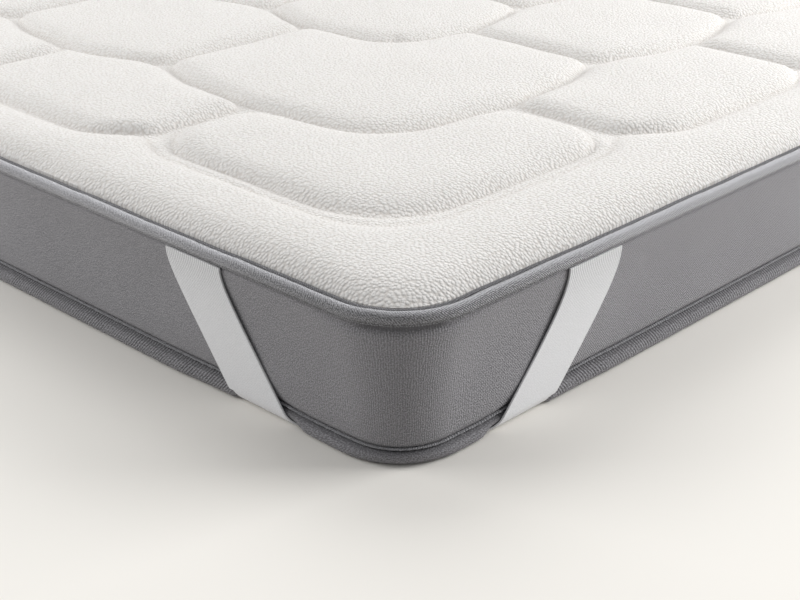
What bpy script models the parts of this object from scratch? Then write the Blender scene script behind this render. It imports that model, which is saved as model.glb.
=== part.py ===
"""Quilted mattress topper with a bound edge and elastic corner straps.

The topper lies flat.  Its origin is the middle of its footprint, on the surface that it
lies on, with +Z up and its long side along Y.  Lengths are in metres.  Places near the
edge are given as insets, measured inwards from the plan line: the rectangle with rounded
corners that the binding tape touches with its outermost point.
"""

import math

import bmesh
import bpy
import numpy as np
from mathutils import Vector
from mathutils.geometry import delaunay_2d_cdt

# Driving sizes.
WIDTH = 0.900
LENGTH = 2.000
TOP_CORNER_RADIUS = 0.042
LOWER_CORNER_RADIUS = 0.030
GAP = 0.0003

# Levels of the pieces that lie on each other.
BASE_TOP = 0.0092
BORDER_BOTTOM = BASE_TOP + GAP
BORDER_TOP = 0.0657
TAPE_BOTTOM = BORDER_TOP + GAP
PANEL_BOTTOM = BORDER_TOP + GAP

# Edge profiles, bottom to top: (inset, height, corner radius of the plan line there).
# The base bulges a little past the plan line, and the border is drawn in at mid-height.
BASE_EDGE = (
    (0.0008, 0.0, LOWER_CORNER_RADIUS),
    (-0.0010, 0.0005, LOWER_CORNER_RADIUS),
    (-0.0023, 0.0016, LOWER_CORNER_RADIUS),
    (-0.0028, 0.0033, LOWER_CORNER_RADIUS),
    (-0.0024, 0.0056, LOWER_CORNER_RADIUS),
    (-0.0010, 0.0077, LOWER_CORNER_RADIUS),
    (0.0009, BASE_TOP, LOWER_CORNER_RADIUS),
)
BORDER_EDGE = (
    (0.0023, BORDER_BOTTOM, LOWER_CORNER_RADIUS),
    (0.0023, 0.0113, LOWER_CORNER_RADIUS),
    (0.0014, 0.0128, LOWER_CORNER_RADIUS),
    (0.0015, 0.0220, 0.032),
    (0.0021, 0.0380, 0.035),
    (0.0020, 0.0530, 0.039),
    (0.0016, 0.0620, TOP_CORNER_RADIUS),
    (0.0022, BORDER_TOP, TOP_CORNER_RADIUS),
)

# Cross-section of the tape: an outer roll and a lower inner fold.
TAPE_ROLL_DIAMETER = 0.0067
TAPE_ROLL_INSET = 0.0024
TAPE_ROLL_ANGLES = (270, 35)
TAPE_ROLL_STEPS = 8
TAPE_FOLD_INSET = 0.0077
TAPE_FOLD_LEVEL = 0.0697
TAPE_FOLD_RADIUS = 0.0015
TAPE_FOLD_ANGLES = (130, 85, 35)
TAPE_INNER = 0.0094

# The lip of the lower seam.
LIP_INSET = 0.0011
LIP_LEVEL = 0.01025
LIP_HALF_DEPTH = 0.0009
LIP_HALF_HEIGHT = 0.00075
LIP_SIDES = 6

# Points of the outline: steps round a corner, and along a short and a long side.
CORNER_STEPS = 8
SHORT_SIDE_STEPS = 4
LONG_SIDE_STEPS = 9
CORNERS = ((1, 1), (-1, 1), (-1, -1), (1, -1))

# Quilting.  Seams run parallel to the sides.  Between two seams lies a ring of pillows:
# ring 0 is the rim, and ring 3 fills the middle in two rows.
PANEL_GAP = 0.0005
PANEL_EDGE = TAPE_INNER + PANEL_GAP
LONG_SIDE_SEAMS = (0.063, 0.155, 0.303, WIDTH / 2)
SHORT_SIDE_SEAMS = (0.070, 0.166, 0.297, 0.445)
RINGS = 4
MIDDLE_RING = 3

# Joints between the pillows of a ring, measured along a side from the corner:
# (ring, first joint, number of joints).
LONG_SIDE_JOINTS = (
    (1, 0.272, 9),
    (2, 0.380, 8),
    (3, 0.445, 7),
)
SHORT_SIDE_JOINTS = (
    (1, 0.261, 3),
    (2, 0.368, 2),
    (3, WIDTH / 2, 1),
)

# Relief of the quilting.
PANEL_EDGE_LEVEL = 0.0712
SEAM_LEVEL = 0.0758
RIM_CROWN = 0.0042
RIM_SHOULDER = 0.024
CROWNS = (0.0, 0.0074, 0.0080, 0.0080)
SHOULDERS = (0.0, 0.038, 0.052, 0.056)
END_RADII = (0.0, 0.012, 0.014, 0.014)
CORNER_PILLOW_END_RADIUS = 0.028
WIDE_SEAM = 0.0047
NARROW_SEAM = 0.0018
SHOULDER_POWER = 2.0

# Near a diagonal of the plan the waves fade over this share of a ring, and the widths of
# the rings on the two sides blend over the other.
WAVE_FADE = 0.5
WIDTH_BLEND = 0.3

# Plan radius of the quilting lines round the corner, on the panel's edge and on each seam.
QUILT_RADII = (TOP_CORNER_RADIUS - PANEL_EDGE, 0.052, 0.054, 0.040, 0.0)

# Seams 1, 2 and 3 bend inwards at the joints inside them and outwards at those outside
# them.  Beside the corner pillow seam 1 runs straight, and past it the seam lies farther out.
INWARD_WAVES = (0.0130, 0.0140, 0.0120)
OUTWARD_WAVES = (0.0, 0.0050, 0.0050)
WAVE_REACHES = (0.022, 0.030, 0.032)
RIM_BULGE = 0.0090
RIM_BULGE_REACH = 0.040

# Where the panel has points: fractions across and along a pillow, and along the rim.
PILLOW_FRACTIONS = (0.0, 0.08, 0.20, 0.50, 0.80, 0.92, 1.0)
RIM_FRACTIONS = (0.0, 0.14, 0.45, 0.78, 0.91, 1.0)
CORNER_ARC_STEPS = 4
RIM_SHORT_STEPS = 6
RIM_LONG_STEPS = 13

# Elastic straps.  Places along a side are measured from the plan's sharp corner.  A strap
# leaves the binding straight down, leans out a little over its length, and after a short lag
# slants towards the corner: (place of its top, slope, lag), on a long and on a short side.
STRAP_WIDTH = 0.033
STRAP_HALF_ROW = 0.0204
STRAP_THICKNESS = 0.0012
STRAP_ON_LONG_SIDE = (0.1396, 0.875, 0.0072)
STRAP_ON_SHORT_SIDE = (0.1342, 1.048, 0.0129)
STRAP_TOP_LEVEL = 0.0656
STRAP_TOP_INSET = 0.0003
STRAP_FOLD_INSET = -0.0022
STRAP_FOLD_RADIUS = 0.0060
STRAP_SIDE_STEPS = 7
STRAP_STEP_POWER = 1.6
STRAP_FOLD_STEPS = 5
STRAP_UNDER_STEPS = 6
STRAP_DIAGONAL = 0.044
CHANNEL_GAP = 0.0004
CHANNEL_SIDE_GAP = 0.0008
CHANNEL_DEPTH_BELOW = 0.004

# Faces that meet at more than this angle look sharp.  Points closer than the merge distance
# become one, and places are rounded to this many digits.
SHARP_ANGLE = math.radians(40)
MERGE_DISTANCE = 1e-6
DIGITS = 7

# Finishes: (name, colour, roughness).
WHITE_KNIT = ("white_knit", (0.80, 0.79, 0.77), 0.95)
GREY_KNIT = ("grey_knit", (0.23, 0.22, 0.23), 0.90)
GREY_BASE = ("grey_base", (0.20, 0.20, 0.21), 0.90)
GREY_TAPE = ("grey_tape", (0.30, 0.30, 0.31), 0.85)
GREY_PIPING = ("grey_piping", (0.25, 0.25, 0.26), 0.85)
WHITE_ELASTIC = ("white_elastic", (0.72, 0.72, 0.74), 0.80)


def ease(share):
    """S-curve from 0 to 1."""
    return share * share * (3 - 2 * share)


def clear_scene():
    """Remove every object of the open scene."""
    for thing in list(bpy.data.objects):
        bpy.data.objects.remove(thing, do_unlink=True)


def make_material(finish):
    """Principled material of a finish, with its colour and roughness."""
    name, colour, roughness = finish
    material = bpy.data.materials.new(name)
    material.use_nodes = True
    shader = material.node_tree.nodes["Principled BSDF"]
    shader.inputs["Base Color"].default_value = (*colour, 1.0)
    shader.inputs["Roughness"].default_value = roughness
    shader.inputs["Metallic"].default_value = 0.0
    material.diffuse_color = (*colour, 1.0)
    return material


def add_object(name, mesh_data, finish=None):
    """Turn a bmesh into an object with its faces pointing out."""
    bmesh.ops.recalc_face_normals(mesh_data, faces=mesh_data.faces)
    mesh = bpy.data.meshes.new(name)
    mesh_data.to_mesh(mesh)
    mesh_data.free()
    mesh.shade_smooth()
    mesh.set_sharp_from_angle(angle=SHARP_ANGLE)
    thing = bpy.data.objects.new(name, mesh)
    bpy.context.scene.collection.objects.link(thing)
    if finish is not None:
        thing.data.materials.append(make_material(finish))
    return thing


def outline(inset, corner_radius):
    """The plan line moved inwards by the inset, as an anticlockwise loop of points."""
    radius = corner_radius - inset
    centre_x = WIDTH / 2 - corner_radius
    centre_y = LENGTH / 2 - corner_radius
    loop = []
    for quarter, (sign_x, sign_y) in enumerate(CORNERS):
        for step in range(CORNER_STEPS + 1):
            angle = math.radians(90 * (quarter + step / CORNER_STEPS))
            x = sign_x * centre_x + radius * math.cos(angle)
            y = sign_y * centre_y + radius * math.sin(angle)
            loop.append((x, y))
        start = loop[-1]
        next_x, next_y = CORNERS[(quarter + 1) % 4]
        along_x = next_x != sign_x
        steps = SHORT_SIDE_STEPS if along_x else LONG_SIDE_STEPS
        for step in range(1, steps):
            share = step / steps
            if along_x:
                loop.append((start[0] * (1 - 2 * share), start[1]))
            else:
                loop.append((start[0], start[1] * (1 - 2 * share)))
    return loop


def sweep(mesh_data, profile):
    """A loop of vertices for each (inset, height, corner radius) of the profile."""
    rows = []
    for inset, height, corner_radius in profile:
        loop = outline(inset, corner_radius)
        rows.append([mesh_data.verts.new((x, y, height)) for x, y in loop])
    return rows


def join_rows(mesh_data, lower, upper):
    """A closed strip of quads between two loops."""
    count = len(lower)
    for index in range(count):
        following = (index + 1) % count
        quad = (lower[index], lower[following], upper[following], upper[index])
        mesh_data.faces.new(quad)


def plate(name, profile, finish):
    """A flat body: an edge profile carried round the outline, closed below and above."""
    mesh_data = bmesh.new()
    rows = sweep(mesh_data, profile)
    for lower, upper in zip(rows, rows[1:]):
        join_rows(mesh_data, lower, upper)
    mesh_data.faces.new(rows[0])
    mesh_data.faces.new(rows[-1])
    return add_object(name, mesh_data, finish)


def ring(name, section, finish):
    """A closed section carried round the outline."""
    mesh_data = bmesh.new()
    rows = sweep(mesh_data, section)
    for lower, upper in zip(rows, rows[1:] + rows[:1]):
        join_rows(mesh_data, lower, upper)
    return add_object(name, mesh_data, finish)


def tape_section():
    """Outer roll from below, over its top, then the inner fold and down to the bottom."""
    radius = TAPE_ROLL_DIAMETER / 2
    section = []
    for degrees in np.linspace(*TAPE_ROLL_ANGLES, TAPE_ROLL_STEPS + 1):
        angle = math.radians(degrees)
        inset = TAPE_ROLL_INSET + radius * math.cos(angle)
        height = TAPE_BOTTOM + radius + radius * math.sin(angle)
        section.append((inset, height, TOP_CORNER_RADIUS))
    for degrees in TAPE_FOLD_ANGLES:
        angle = math.radians(degrees)
        inset = TAPE_FOLD_INSET + TAPE_FOLD_RADIUS * math.cos(angle)
        height = TAPE_FOLD_LEVEL + TAPE_FOLD_RADIUS * math.sin(angle)
        section.append((inset, height, TOP_CORNER_RADIUS))
    section.append((TAPE_INNER, TAPE_FOLD_LEVEL, TOP_CORNER_RADIUS))
    section.append((TAPE_INNER, TAPE_BOTTOM, TOP_CORNER_RADIUS))
    return section


def lip_section():
    """A small six-sided oval."""
    section = []
    for side in range(LIP_SIDES):
        angle = 2 * math.pi * (side + 0.5) / LIP_SIDES
        inset = LIP_INSET + LIP_HALF_DEPTH * math.cos(angle)
        height = LIP_LEVEL + LIP_HALF_HEIGHT * math.sin(angle)
        section.append((inset, height, LOWER_CORNER_RADIUS))
    return section


def seam_count(inset, seams):
    """0 on the panel's edge and 1, 2, 3, 4 on the seams, even between them."""
    return np.interp(inset, (PANEL_EDGE, *seams), range(RINGS + 1))


def joint_places(joints, wanted_ring, side_length):
    """Places of a ring's joints along one side, the same from either end."""
    for ring_number, first, count in joints:
        if ring_number == wanted_ring and count > 1:
            return np.linspace(first, side_length - first, count)
        if ring_number == wanted_ring:
            return np.array([first])
    return np.array([])


def nearest(along, places):
    """Distance from each value to the nearest of some places."""
    if len(places) == 0:
        return np.full_like(along, LENGTH)
    return np.min(np.abs(along[:, None] - places[None, :]), axis=1)


def bumps(along, places, reach):
    """Sum of smooth bumps of height 1, one at each place."""
    if len(places) == 0:
        return np.zeros_like(along)
    return np.sum(np.exp(-(((along[:, None] - places[None, :]) / reach) ** 2)), axis=1)


def seam_wave(along, joints, side_length, count):
    """How far inwards the quilting lines move along one side."""
    shift = np.zeros_like(along)
    for seam in range(1, RINGS):
        reach = WAVE_REACHES[seam - 1]
        inner = bumps(along, joint_places(joints, seam, side_length), reach)
        outer = bumps(along, joint_places(joints, seam - 1, side_length), reach)
        near = np.clip(1 - np.abs(count - seam), 0, 1)
        shift += near * (INWARD_WAVES[seam - 1] * inner - OUTWARD_WAVES[seam - 1] * outer)
    past_corner = np.minimum(along, side_length - along) - joint_places(joints, 1, side_length)[0]
    share = np.clip(past_corner / RIM_BULGE_REACH, 0, 1)
    return shift - RIM_BULGE * ease(share) * np.clip(1 - np.abs(count - 1), 0, 1)


def bend(x, y):
    """Move straight quilting lines to their real places.

    Near a joint each seam gives way, and round a corner the lines that meet there turn
    along an arc: a point at the distance e from the lines' corner, along one of them,
    moves to the angle 45 (1 - e / radius) degrees from the start of the arc.
    """
    along_x, along_y = x + WIDTH / 2, y + LENGTH / 2
    inset_x, inset_y = WIDTH / 2 - np.abs(x), LENGTH / 2 - np.abs(y)
    count_x = seam_count(inset_x, LONG_SIDE_SEAMS)
    count_y = seam_count(inset_y, SHORT_SIDE_SEAMS)
    count = np.minimum(count_x, count_y)
    on_long_side = count_x <= count_y
    fade = np.clip(np.abs(count_x - count_y) / WAVE_FADE, 0, 1)

    radius = np.interp(count, range(RINGS + 1), QUILT_RADII)
    corner_x = np.interp(count, range(RINGS + 1), (PANEL_EDGE, *LONG_SIDE_SEAMS))
    corner_y = np.interp(count, range(RINGS + 1), (PANEL_EDGE, *SHORT_SIDE_SEAMS))
    distance = np.where(on_long_side, inset_y - corner_y, inset_x - corner_x)
    turning = (distance < radius) & (radius > 0)
    angle = math.pi / 4 * (1 - distance / np.where(turning, radius, 1))
    near = radius * (1 - np.cos(angle))
    far = radius * (1 - np.sin(angle))
    arc_x = corner_x + np.where(on_long_side, near, far)
    arc_y = corner_y + np.where(on_long_side, far, near)
    new_x = np.where(turning, arc_x, inset_x)
    new_y = np.where(turning, arc_y, inset_y)

    wave_x = seam_wave(along_y, LONG_SIDE_JOINTS, LENGTH, count) * fade
    wave_y = seam_wave(along_x, SHORT_SIDE_JOINTS, WIDTH, count) * fade
    new_x = new_x + np.where(on_long_side, wave_x, 0)
    new_y = new_y + np.where(on_long_side, 0, wave_y)
    return np.sign(x) * (WIDTH / 2 - new_x), np.sign(y) * (LENGTH / 2 - new_y)


def shoulder(distance, reach):
    """Rises from 0 at a seam to 1 at the reach, ever more gently."""
    return 1 - (1 - np.clip(distance / reach, 0, 1)) ** SHOULDER_POWER


def relief(x, y):
    """Height of the quilted face over the straight quilting lines.

    A pillow rises with the distance to its sewn outline, which has rounded corners.
    """
    along_x, along_y = x + WIDTH / 2, y + LENGTH / 2
    inset_x, inset_y = WIDTH / 2 - np.abs(x), LENGTH / 2 - np.abs(y)
    count_x = seam_count(inset_x, LONG_SIDE_SEAMS)
    count_y = seam_count(inset_y, SHORT_SIDE_SEAMS)
    count = np.minimum(count_x, count_y)
    on_long_side = count_x <= count_y
    lines_x = (PANEL_EDGE, *LONG_SIDE_SEAMS)
    lines_y = (PANEL_EDGE, *SHORT_SIDE_SEAMS)
    blend = 0.5 + 0.5 * np.tanh((count_x - count_y) / WIDTH_BLEND)

    height = np.full_like(x, SEAM_LEVEL)
    for number in range(RINGS):
        here = (count >= number) & (count <= number + 1)
        width_x = lines_x[number + 1] - lines_x[number]
        width_y = lines_y[number + 1] - lines_y[number]
        width = width_x + (width_y - width_x) * blend
        outer = (count - number) * width
        inner = (number + 1 - count) * width
        if number == 0:
            level = PANEL_EDGE_LEVEL + (SEAM_LEVEL - PANEL_EDGE_LEVEL) * shoulder(outer, RIM_SHOULDER)
            crown = shoulder(outer, RIM_SHOULDER) * shoulder(inner - WIDE_SEAM, RIM_SHOULDER)
            height = np.where(here, level + RIM_CROWN * crown, height)
            continue
        joint_x = nearest(along_y, joint_places(LONG_SIDE_JOINTS, number, LENGTH))
        joint_y = nearest(along_x, joint_places(SHORT_SIDE_JOINTS, number, WIDTH))
        across = np.minimum(outer - NARROW_SEAM, inner - NARROW_SEAM)
        if number == 1:
            across = np.minimum(outer - WIDE_SEAM, inner - NARROW_SEAM)
        along = np.where(on_long_side, joint_x, joint_y) - NARROW_SEAM
        if number == MIDDLE_RING:
            from_seam = inset_x - LONG_SIDE_SEAMS[2]
            from_middle = LONG_SIDE_SEAMS[3] - inset_x
            across = np.minimum(from_seam, from_middle) - NARROW_SEAM
            along = np.minimum(joint_x, inset_y - SHORT_SIDE_SEAMS[2]) - NARROW_SEAM
        end_radius = np.full_like(x, END_RADII[number])
        if number == 1:
            first_long, first_short = LONG_SIDE_JOINTS[0][1], SHORT_SIDE_JOINTS[0][1]
            corner_pillow = (inset_x < first_short) & (inset_y < first_long)
            end_radius = np.where(corner_pillow, CORNER_PILLOW_END_RADIUS, end_radius)
            along = along - np.where(corner_pillow, WIDE_SEAM, 0)
        short_across = np.maximum(end_radius - across, 0)
        short_along = np.maximum(end_radius - along, 0)
        beyond = np.maximum(np.minimum(across, along) - end_radius, 0)
        distance = end_radius - np.hypot(short_across, short_along) + beyond
        pillow = SEAM_LEVEL + CROWNS[number] * shoulder(distance, SHOULDERS[number])
        height = np.where(here, pillow, height)
    return height


def spread(start, end, fractions):
    """Places between two ends at the given fractions of the way."""
    return [start + (end - start) * fraction for fraction in fractions]


def add_grid(points, insets_x, insets_y):
    """Points of a grid of insets, in all four quarters of the panel."""
    for inset_x in insets_x:
        for inset_y in insets_y:
            x, y = WIDTH / 2 - inset_x, LENGTH / 2 - inset_y
            for sign_x, sign_y in CORNERS:
                points.add((round(sign_x * x, DIGITS), round(sign_y * y, DIGITS)))


def panel_points():
    """Points of the panel on its straight quilting lines, and those lines as segments."""
    points = set()
    segments = []
    lines_x = (PANEL_EDGE, *LONG_SIDE_SEAMS)
    lines_y = (PANEL_EDGE, *SHORT_SIDE_SEAMS)
    arc = [QUILT_RADII[0] * step / CORNER_ARC_STEPS for step in range(CORNER_ARC_STEPS + 1)]
    for number in range(RINGS):
        fractions = PILLOW_FRACTIONS if number else RIM_FRACTIONS
        across_x = spread(lines_x[number], lines_x[number + 1], fractions)
        across_y = spread(lines_y[number], lines_y[number + 1], fractions)
        add_grid(points, across_x, across_y)
        stops_x = [lines_x[number + 1], *joint_places(SHORT_SIDE_JOINTS, number, WIDTH)]
        stops_y = [lines_y[number + 1], *joint_places(LONG_SIDE_JOINTS, number, LENGTH)]
        if number == 0:
            add_grid(points, [PANEL_EDGE + step for step in arc], [PANEL_EDGE])
            add_grid(points, [PANEL_EDGE], [PANEL_EDGE + step for step in arc])
            stops_x += list(np.linspace(lines_x[1], WIDTH - lines_x[1], RIM_SHORT_STEPS))
            stops_y += list(np.linspace(lines_y[1], LENGTH - lines_y[1], RIM_LONG_STEPS))
        stops_x = {round(stop, DIGITS) for stop in stops_x}
        stops_y = {round(stop, DIGITS) for stop in stops_y}
        stops_x = sorted(stop for stop in stops_x if stop <= WIDTH / 2)
        stops_y = sorted(stop for stop in stops_y if stop <= LENGTH / 2)
        along = PILLOW_FRACTIONS if number else (0.0, 1.0)
        for start, end in zip(stops_y, stops_y[1:] + [LENGTH - stops_y[-1]]):
            add_grid(points, across_x, spread(start, end, along))
        if number < MIDDLE_RING:
            for start, end in zip(stops_x, stops_x[1:] + [WIDTH - stops_x[-1]]):
                add_grid(points, spread(start, end, along), across_y)
        for inset_x, inset_y in zip(across_x, across_y):
            x, y = WIDTH / 2 - inset_x, LENGTH / 2 - inset_y
            for sign in (-1, 1):
                if number < MIDDLE_RING:
                    segments.append(((-x, sign * y), (x, sign * y)))
                segments.append(((sign * x, -y), (sign * x, y)))
    return points, segments


def quilted_panel():
    """The white panel: its quilted face, straight sides and a flat underside."""
    points, segments = panel_points()
    coordinates = [Vector(point) for point in sorted(points)]
    edges = []
    for start, end in segments:
        coordinates += [Vector(start), Vector(end)]
        edges.append((len(coordinates) - 2, len(coordinates) - 1))
    flat_points, _, triangles, *_ = delaunay_2d_cdt(coordinates, edges, [], 0, MERGE_DISTANCE)
    flat = np.array([tuple(point) for point in flat_points])
    heights = relief(flat[:, 0], flat[:, 1])
    x, y = bend(flat[:, 0], flat[:, 1])

    mesh_data = bmesh.new()
    verts = [mesh_data.verts.new(place) for place in zip(x, y, heights)]
    for triangle in triangles:
        mesh_data.faces.new([verts[index] for index in triangle])
    rim = [edge for edge in mesh_data.edges if edge.is_boundary]
    skirt = bmesh.ops.extrude_edge_only(mesh_data, edges=rim)["geom"]
    for element in skirt:
        if isinstance(element, bmesh.types.BMVert):
            element.co.z = PANEL_BOTTOM
    hem = [edge for edge in mesh_data.edges if edge.is_boundary]
    bmesh.ops.contextual_create(mesh_data, geom=hem)
    return add_object("quilted_top", mesh_data, WHITE_KNIT)


def strap_along(drop, side):
    """Place along the side of a strap's middle, at a length below the binding."""
    place, slope, lag = side
    return place - slope * (drop - lag * (1 - math.exp(-drop / lag)))


def curve_between(start, start_way, end, end_way, share):
    """Point of a cubic curve that leaves and arrives along the given ways."""
    reach = math.dist(start, end)
    leaving = reach * share * (1 - share) ** 2
    arriving = reach * share * share * (1 - share)
    point = []
    for axis in range(2):
        straight = start[axis] + (end[axis] - start[axis]) * ease(share)
        turned = start_way[axis] * leaving - end_way[axis] * arriving
        point.append(straight + turned)
    return point


def strap_rows(extra, side):
    """Rows across one half of a strap, from the binding to below the corner's diagonal.

    Each row is (places of its two ends and middle, outward normal), where a place is
    (inset, along the side, height) and the normal is (inset, height).  The half runs down
    the side, round the bottom edge, and in a gentle curve under the corner, where its
    direction turns to 45 degrees so that the other half carries on from it.  The extra
    widens each end of a row.
    """
    fold_level = STRAP_FOLD_RADIUS + STRAP_THICKNESS / 2
    fold_centre = STRAP_FOLD_INSET + STRAP_FOLD_RADIUS
    half = STRAP_HALF_ROW + extra
    rows = []
    side_drop = STRAP_TOP_LEVEL - fold_level
    side_lean = STRAP_FOLD_INSET - STRAP_TOP_INSET
    side_length = math.hypot(side_drop, side_lean)
    side_normal = (-side_drop / side_length, -side_lean / side_length)
    for step in range(STRAP_SIDE_STEPS):
        share = (step / STRAP_SIDE_STEPS) ** STRAP_STEP_POWER
        inset = STRAP_TOP_INSET + side_lean * share
        height = STRAP_TOP_LEVEL - side_drop * share
        along = strap_along(side_drop * share, side)
        row = [(inset, along + half * end, height) for end in (-1, 0, 1)]
        rows.append((row, side_normal))
    for step in range(STRAP_FOLD_STEPS):
        angle = math.pi / 2 * step / STRAP_FOLD_STEPS
        normal = (-math.cos(angle), -math.sin(angle))
        inset = fold_centre + STRAP_FOLD_RADIUS * normal[0]
        height = fold_level + STRAP_FOLD_RADIUS * normal[1]
        along = strap_along(side_drop + STRAP_FOLD_RADIUS * angle, side)
        row = [(inset, along + half * end, height) for end in (-1, 0, 1)]
        rows.append((row, normal))
    drop = side_drop + STRAP_FOLD_RADIUS * math.pi / 2
    slope = side[1]
    start_way = (1 / math.hypot(1, slope), -slope / math.hypot(1, slope))
    end_way = (math.sqrt(0.5), -math.sqrt(0.5))
    start = (fold_centre, strap_along(drop, side))
    end = (STRAP_DIAGONAL, STRAP_DIAGONAL)
    for step in range(STRAP_UNDER_STEPS + 1):
        share = step / STRAP_UNDER_STEPS
        inset, along = curve_between(start, start_way, end, end_way, share)
        turn = math.pi / 4 * ease(share)
        half_row = half + (STRAP_WIDTH / 2 + extra - half) * ease(share)
        row = []
        for end_sign in (-1, 0, 1):
            place_inset = inset + half_row * end_sign * math.sin(turn)
            place_along = along + half_row * end_sign * math.cos(turn)
            row.append((place_inset, place_along, STRAP_THICKNESS / 2))
        rows.append((row, (0.0, -1.0)))
    return rows


def ribbon(mesh_data, corner, extra, inner_offset, outer_offset):
    """One strap as a closed ribbon round a corner, between two offsets from its middle."""
    sign_x, sign_y = corner
    layers = []
    for on_long_side in (True, False):
        if on_long_side:
            rows = strap_rows(extra, STRAP_ON_LONG_SIDE)
        else:
            rows = strap_rows(extra, STRAP_ON_SHORT_SIDE)[-2::-1]
        for row, (normal_inset, normal_height) in rows:
            layer = []
            for offset in (-inner_offset, outer_offset):
                for inset, along, height in row:
                    from_side = inset + normal_inset * offset
                    inset_x, inset_y = (from_side, along) if on_long_side else (along, from_side)
                    x = sign_x * (WIDTH / 2 - inset_x)
                    y = sign_y * (LENGTH / 2 - inset_y)
                    layer.append(mesh_data.verts.new((x, y, height + normal_height * offset)))
            layers.append(layer)
    around = (0, 1, 2, 5, 4, 3)
    for this, following in zip(layers, layers[1:]):
        for index, here in enumerate(around):
            there = around[(index + 1) % len(around)]
            mesh_data.faces.new((this[here], this[there], following[there], following[here]))
    for end in (layers[0], layers[-1]):
        mesh_data.faces.new((end[0], end[1], end[4], end[3]))
        mesh_data.faces.new((end[1], end[2], end[5], end[4]))


def strap(name, corner):
    """The elastic band of one corner."""
    mesh_data = bmesh.new()
    ribbon(mesh_data, corner, 0.0, STRAP_THICKNESS / 2, STRAP_THICKNESS / 2)
    return add_object(name, mesh_data, WHITE_ELASTIC)


def press_straps_into(base):
    """Cut the shallow channels in which the straps lie, so that both rest on the surface."""
    mesh_data = bmesh.new()
    inner_offset = STRAP_THICKNESS / 2 + CHANNEL_GAP
    for corner in CORNERS:
        ribbon(mesh_data, corner, CHANNEL_SIDE_GAP, inner_offset, CHANNEL_DEPTH_BELOW)
    cutter = add_object("strap_channels", mesh_data)
    cutter.hide_render = True
    cutter.display_type = "WIRE"
    cut = base.modifiers.new("strap_channels", "BOOLEAN")
    cut.operation = "DIFFERENCE"
    cut.solver = "EXACT"
    cut.object = cutter


def main():
    """Build the topper from its base up."""
    clear_scene()
    base = plate("base", BASE_EDGE, GREY_BASE)
    press_straps_into(base)
    ring("seam_lip", lip_section(), GREY_PIPING)
    plate("border", BORDER_EDGE, GREY_KNIT)
    ring("top_binding", tape_section(), GREY_TAPE)
    quilted_panel()
    strap("strap_back_right", CORNERS[0])
    strap("strap_back_left", CORNERS[1])
    strap("strap_front_left", CORNERS[2])
    strap("strap_front_right", CORNERS[3])


main()
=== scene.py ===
"""Dressed scene of a quilted mattress topper with a bound edge and elastic corner straps.

Every soft piece is a surface worked out with whole arrays, either as a height over a grid
or as a profile carried round the plan line.  The plan line is the rectangle with rounded
corners that the edge binding touches with its outermost point, and an inset is a distance
measured inwards from it.  All lengths are in metres.
"""

import math

import bpy
import numpy as np
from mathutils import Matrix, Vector


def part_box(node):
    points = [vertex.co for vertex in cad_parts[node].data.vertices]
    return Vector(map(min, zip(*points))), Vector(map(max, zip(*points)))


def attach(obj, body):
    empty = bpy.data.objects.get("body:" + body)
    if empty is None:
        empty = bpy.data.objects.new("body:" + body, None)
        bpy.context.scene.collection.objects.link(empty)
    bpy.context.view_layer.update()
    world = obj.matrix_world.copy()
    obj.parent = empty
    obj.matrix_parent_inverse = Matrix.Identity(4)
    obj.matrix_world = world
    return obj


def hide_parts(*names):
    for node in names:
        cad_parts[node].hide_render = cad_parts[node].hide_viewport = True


bl_info = {
    "name": "Quilted mattress topper",
    "version": (1, 0, 0),
    "blender": (4, 5, 0),
    "location": "View3D > Sidebar > Topper",
    "description": "Makes the cover, border, base, binding, straps and stage of a mattress topper",
    "category": "Add Mesh",
}

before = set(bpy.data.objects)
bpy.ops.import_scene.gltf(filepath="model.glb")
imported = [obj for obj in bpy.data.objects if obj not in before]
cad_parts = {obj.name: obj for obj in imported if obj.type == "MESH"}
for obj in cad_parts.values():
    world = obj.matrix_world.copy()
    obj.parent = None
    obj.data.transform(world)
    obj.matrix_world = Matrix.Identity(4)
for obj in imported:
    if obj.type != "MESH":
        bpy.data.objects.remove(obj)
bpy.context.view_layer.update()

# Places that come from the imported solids.
BORDER_LOW, BORDER_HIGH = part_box("border")
BORDER_WIDEST_INSET = 0.0014
HALF_WIDTH = BORDER_HIGH.x + BORDER_WIDEST_INSET
HALF_LENGTH = BORDER_HIGH.y + BORDER_WIDEST_INSET
BORDER_BOTTOM = BORDER_LOW.z
BORDER_TOP = BORDER_HIGH.z
PANEL_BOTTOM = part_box("quilted_top")[0].z
TAPE_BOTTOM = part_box("top_binding")[0].z
BASE_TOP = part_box("base")[1].z
HEIGHT = 0.075

# Plan radii of the corners.
TOP_CORNER_RADIUS = 0.042
LOWER_CORNER_RADIUS = 0.030
CORNERS = np.array([(1, 1), (-1, 1), (-1, -1), (1, -1)], dtype=float)

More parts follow.
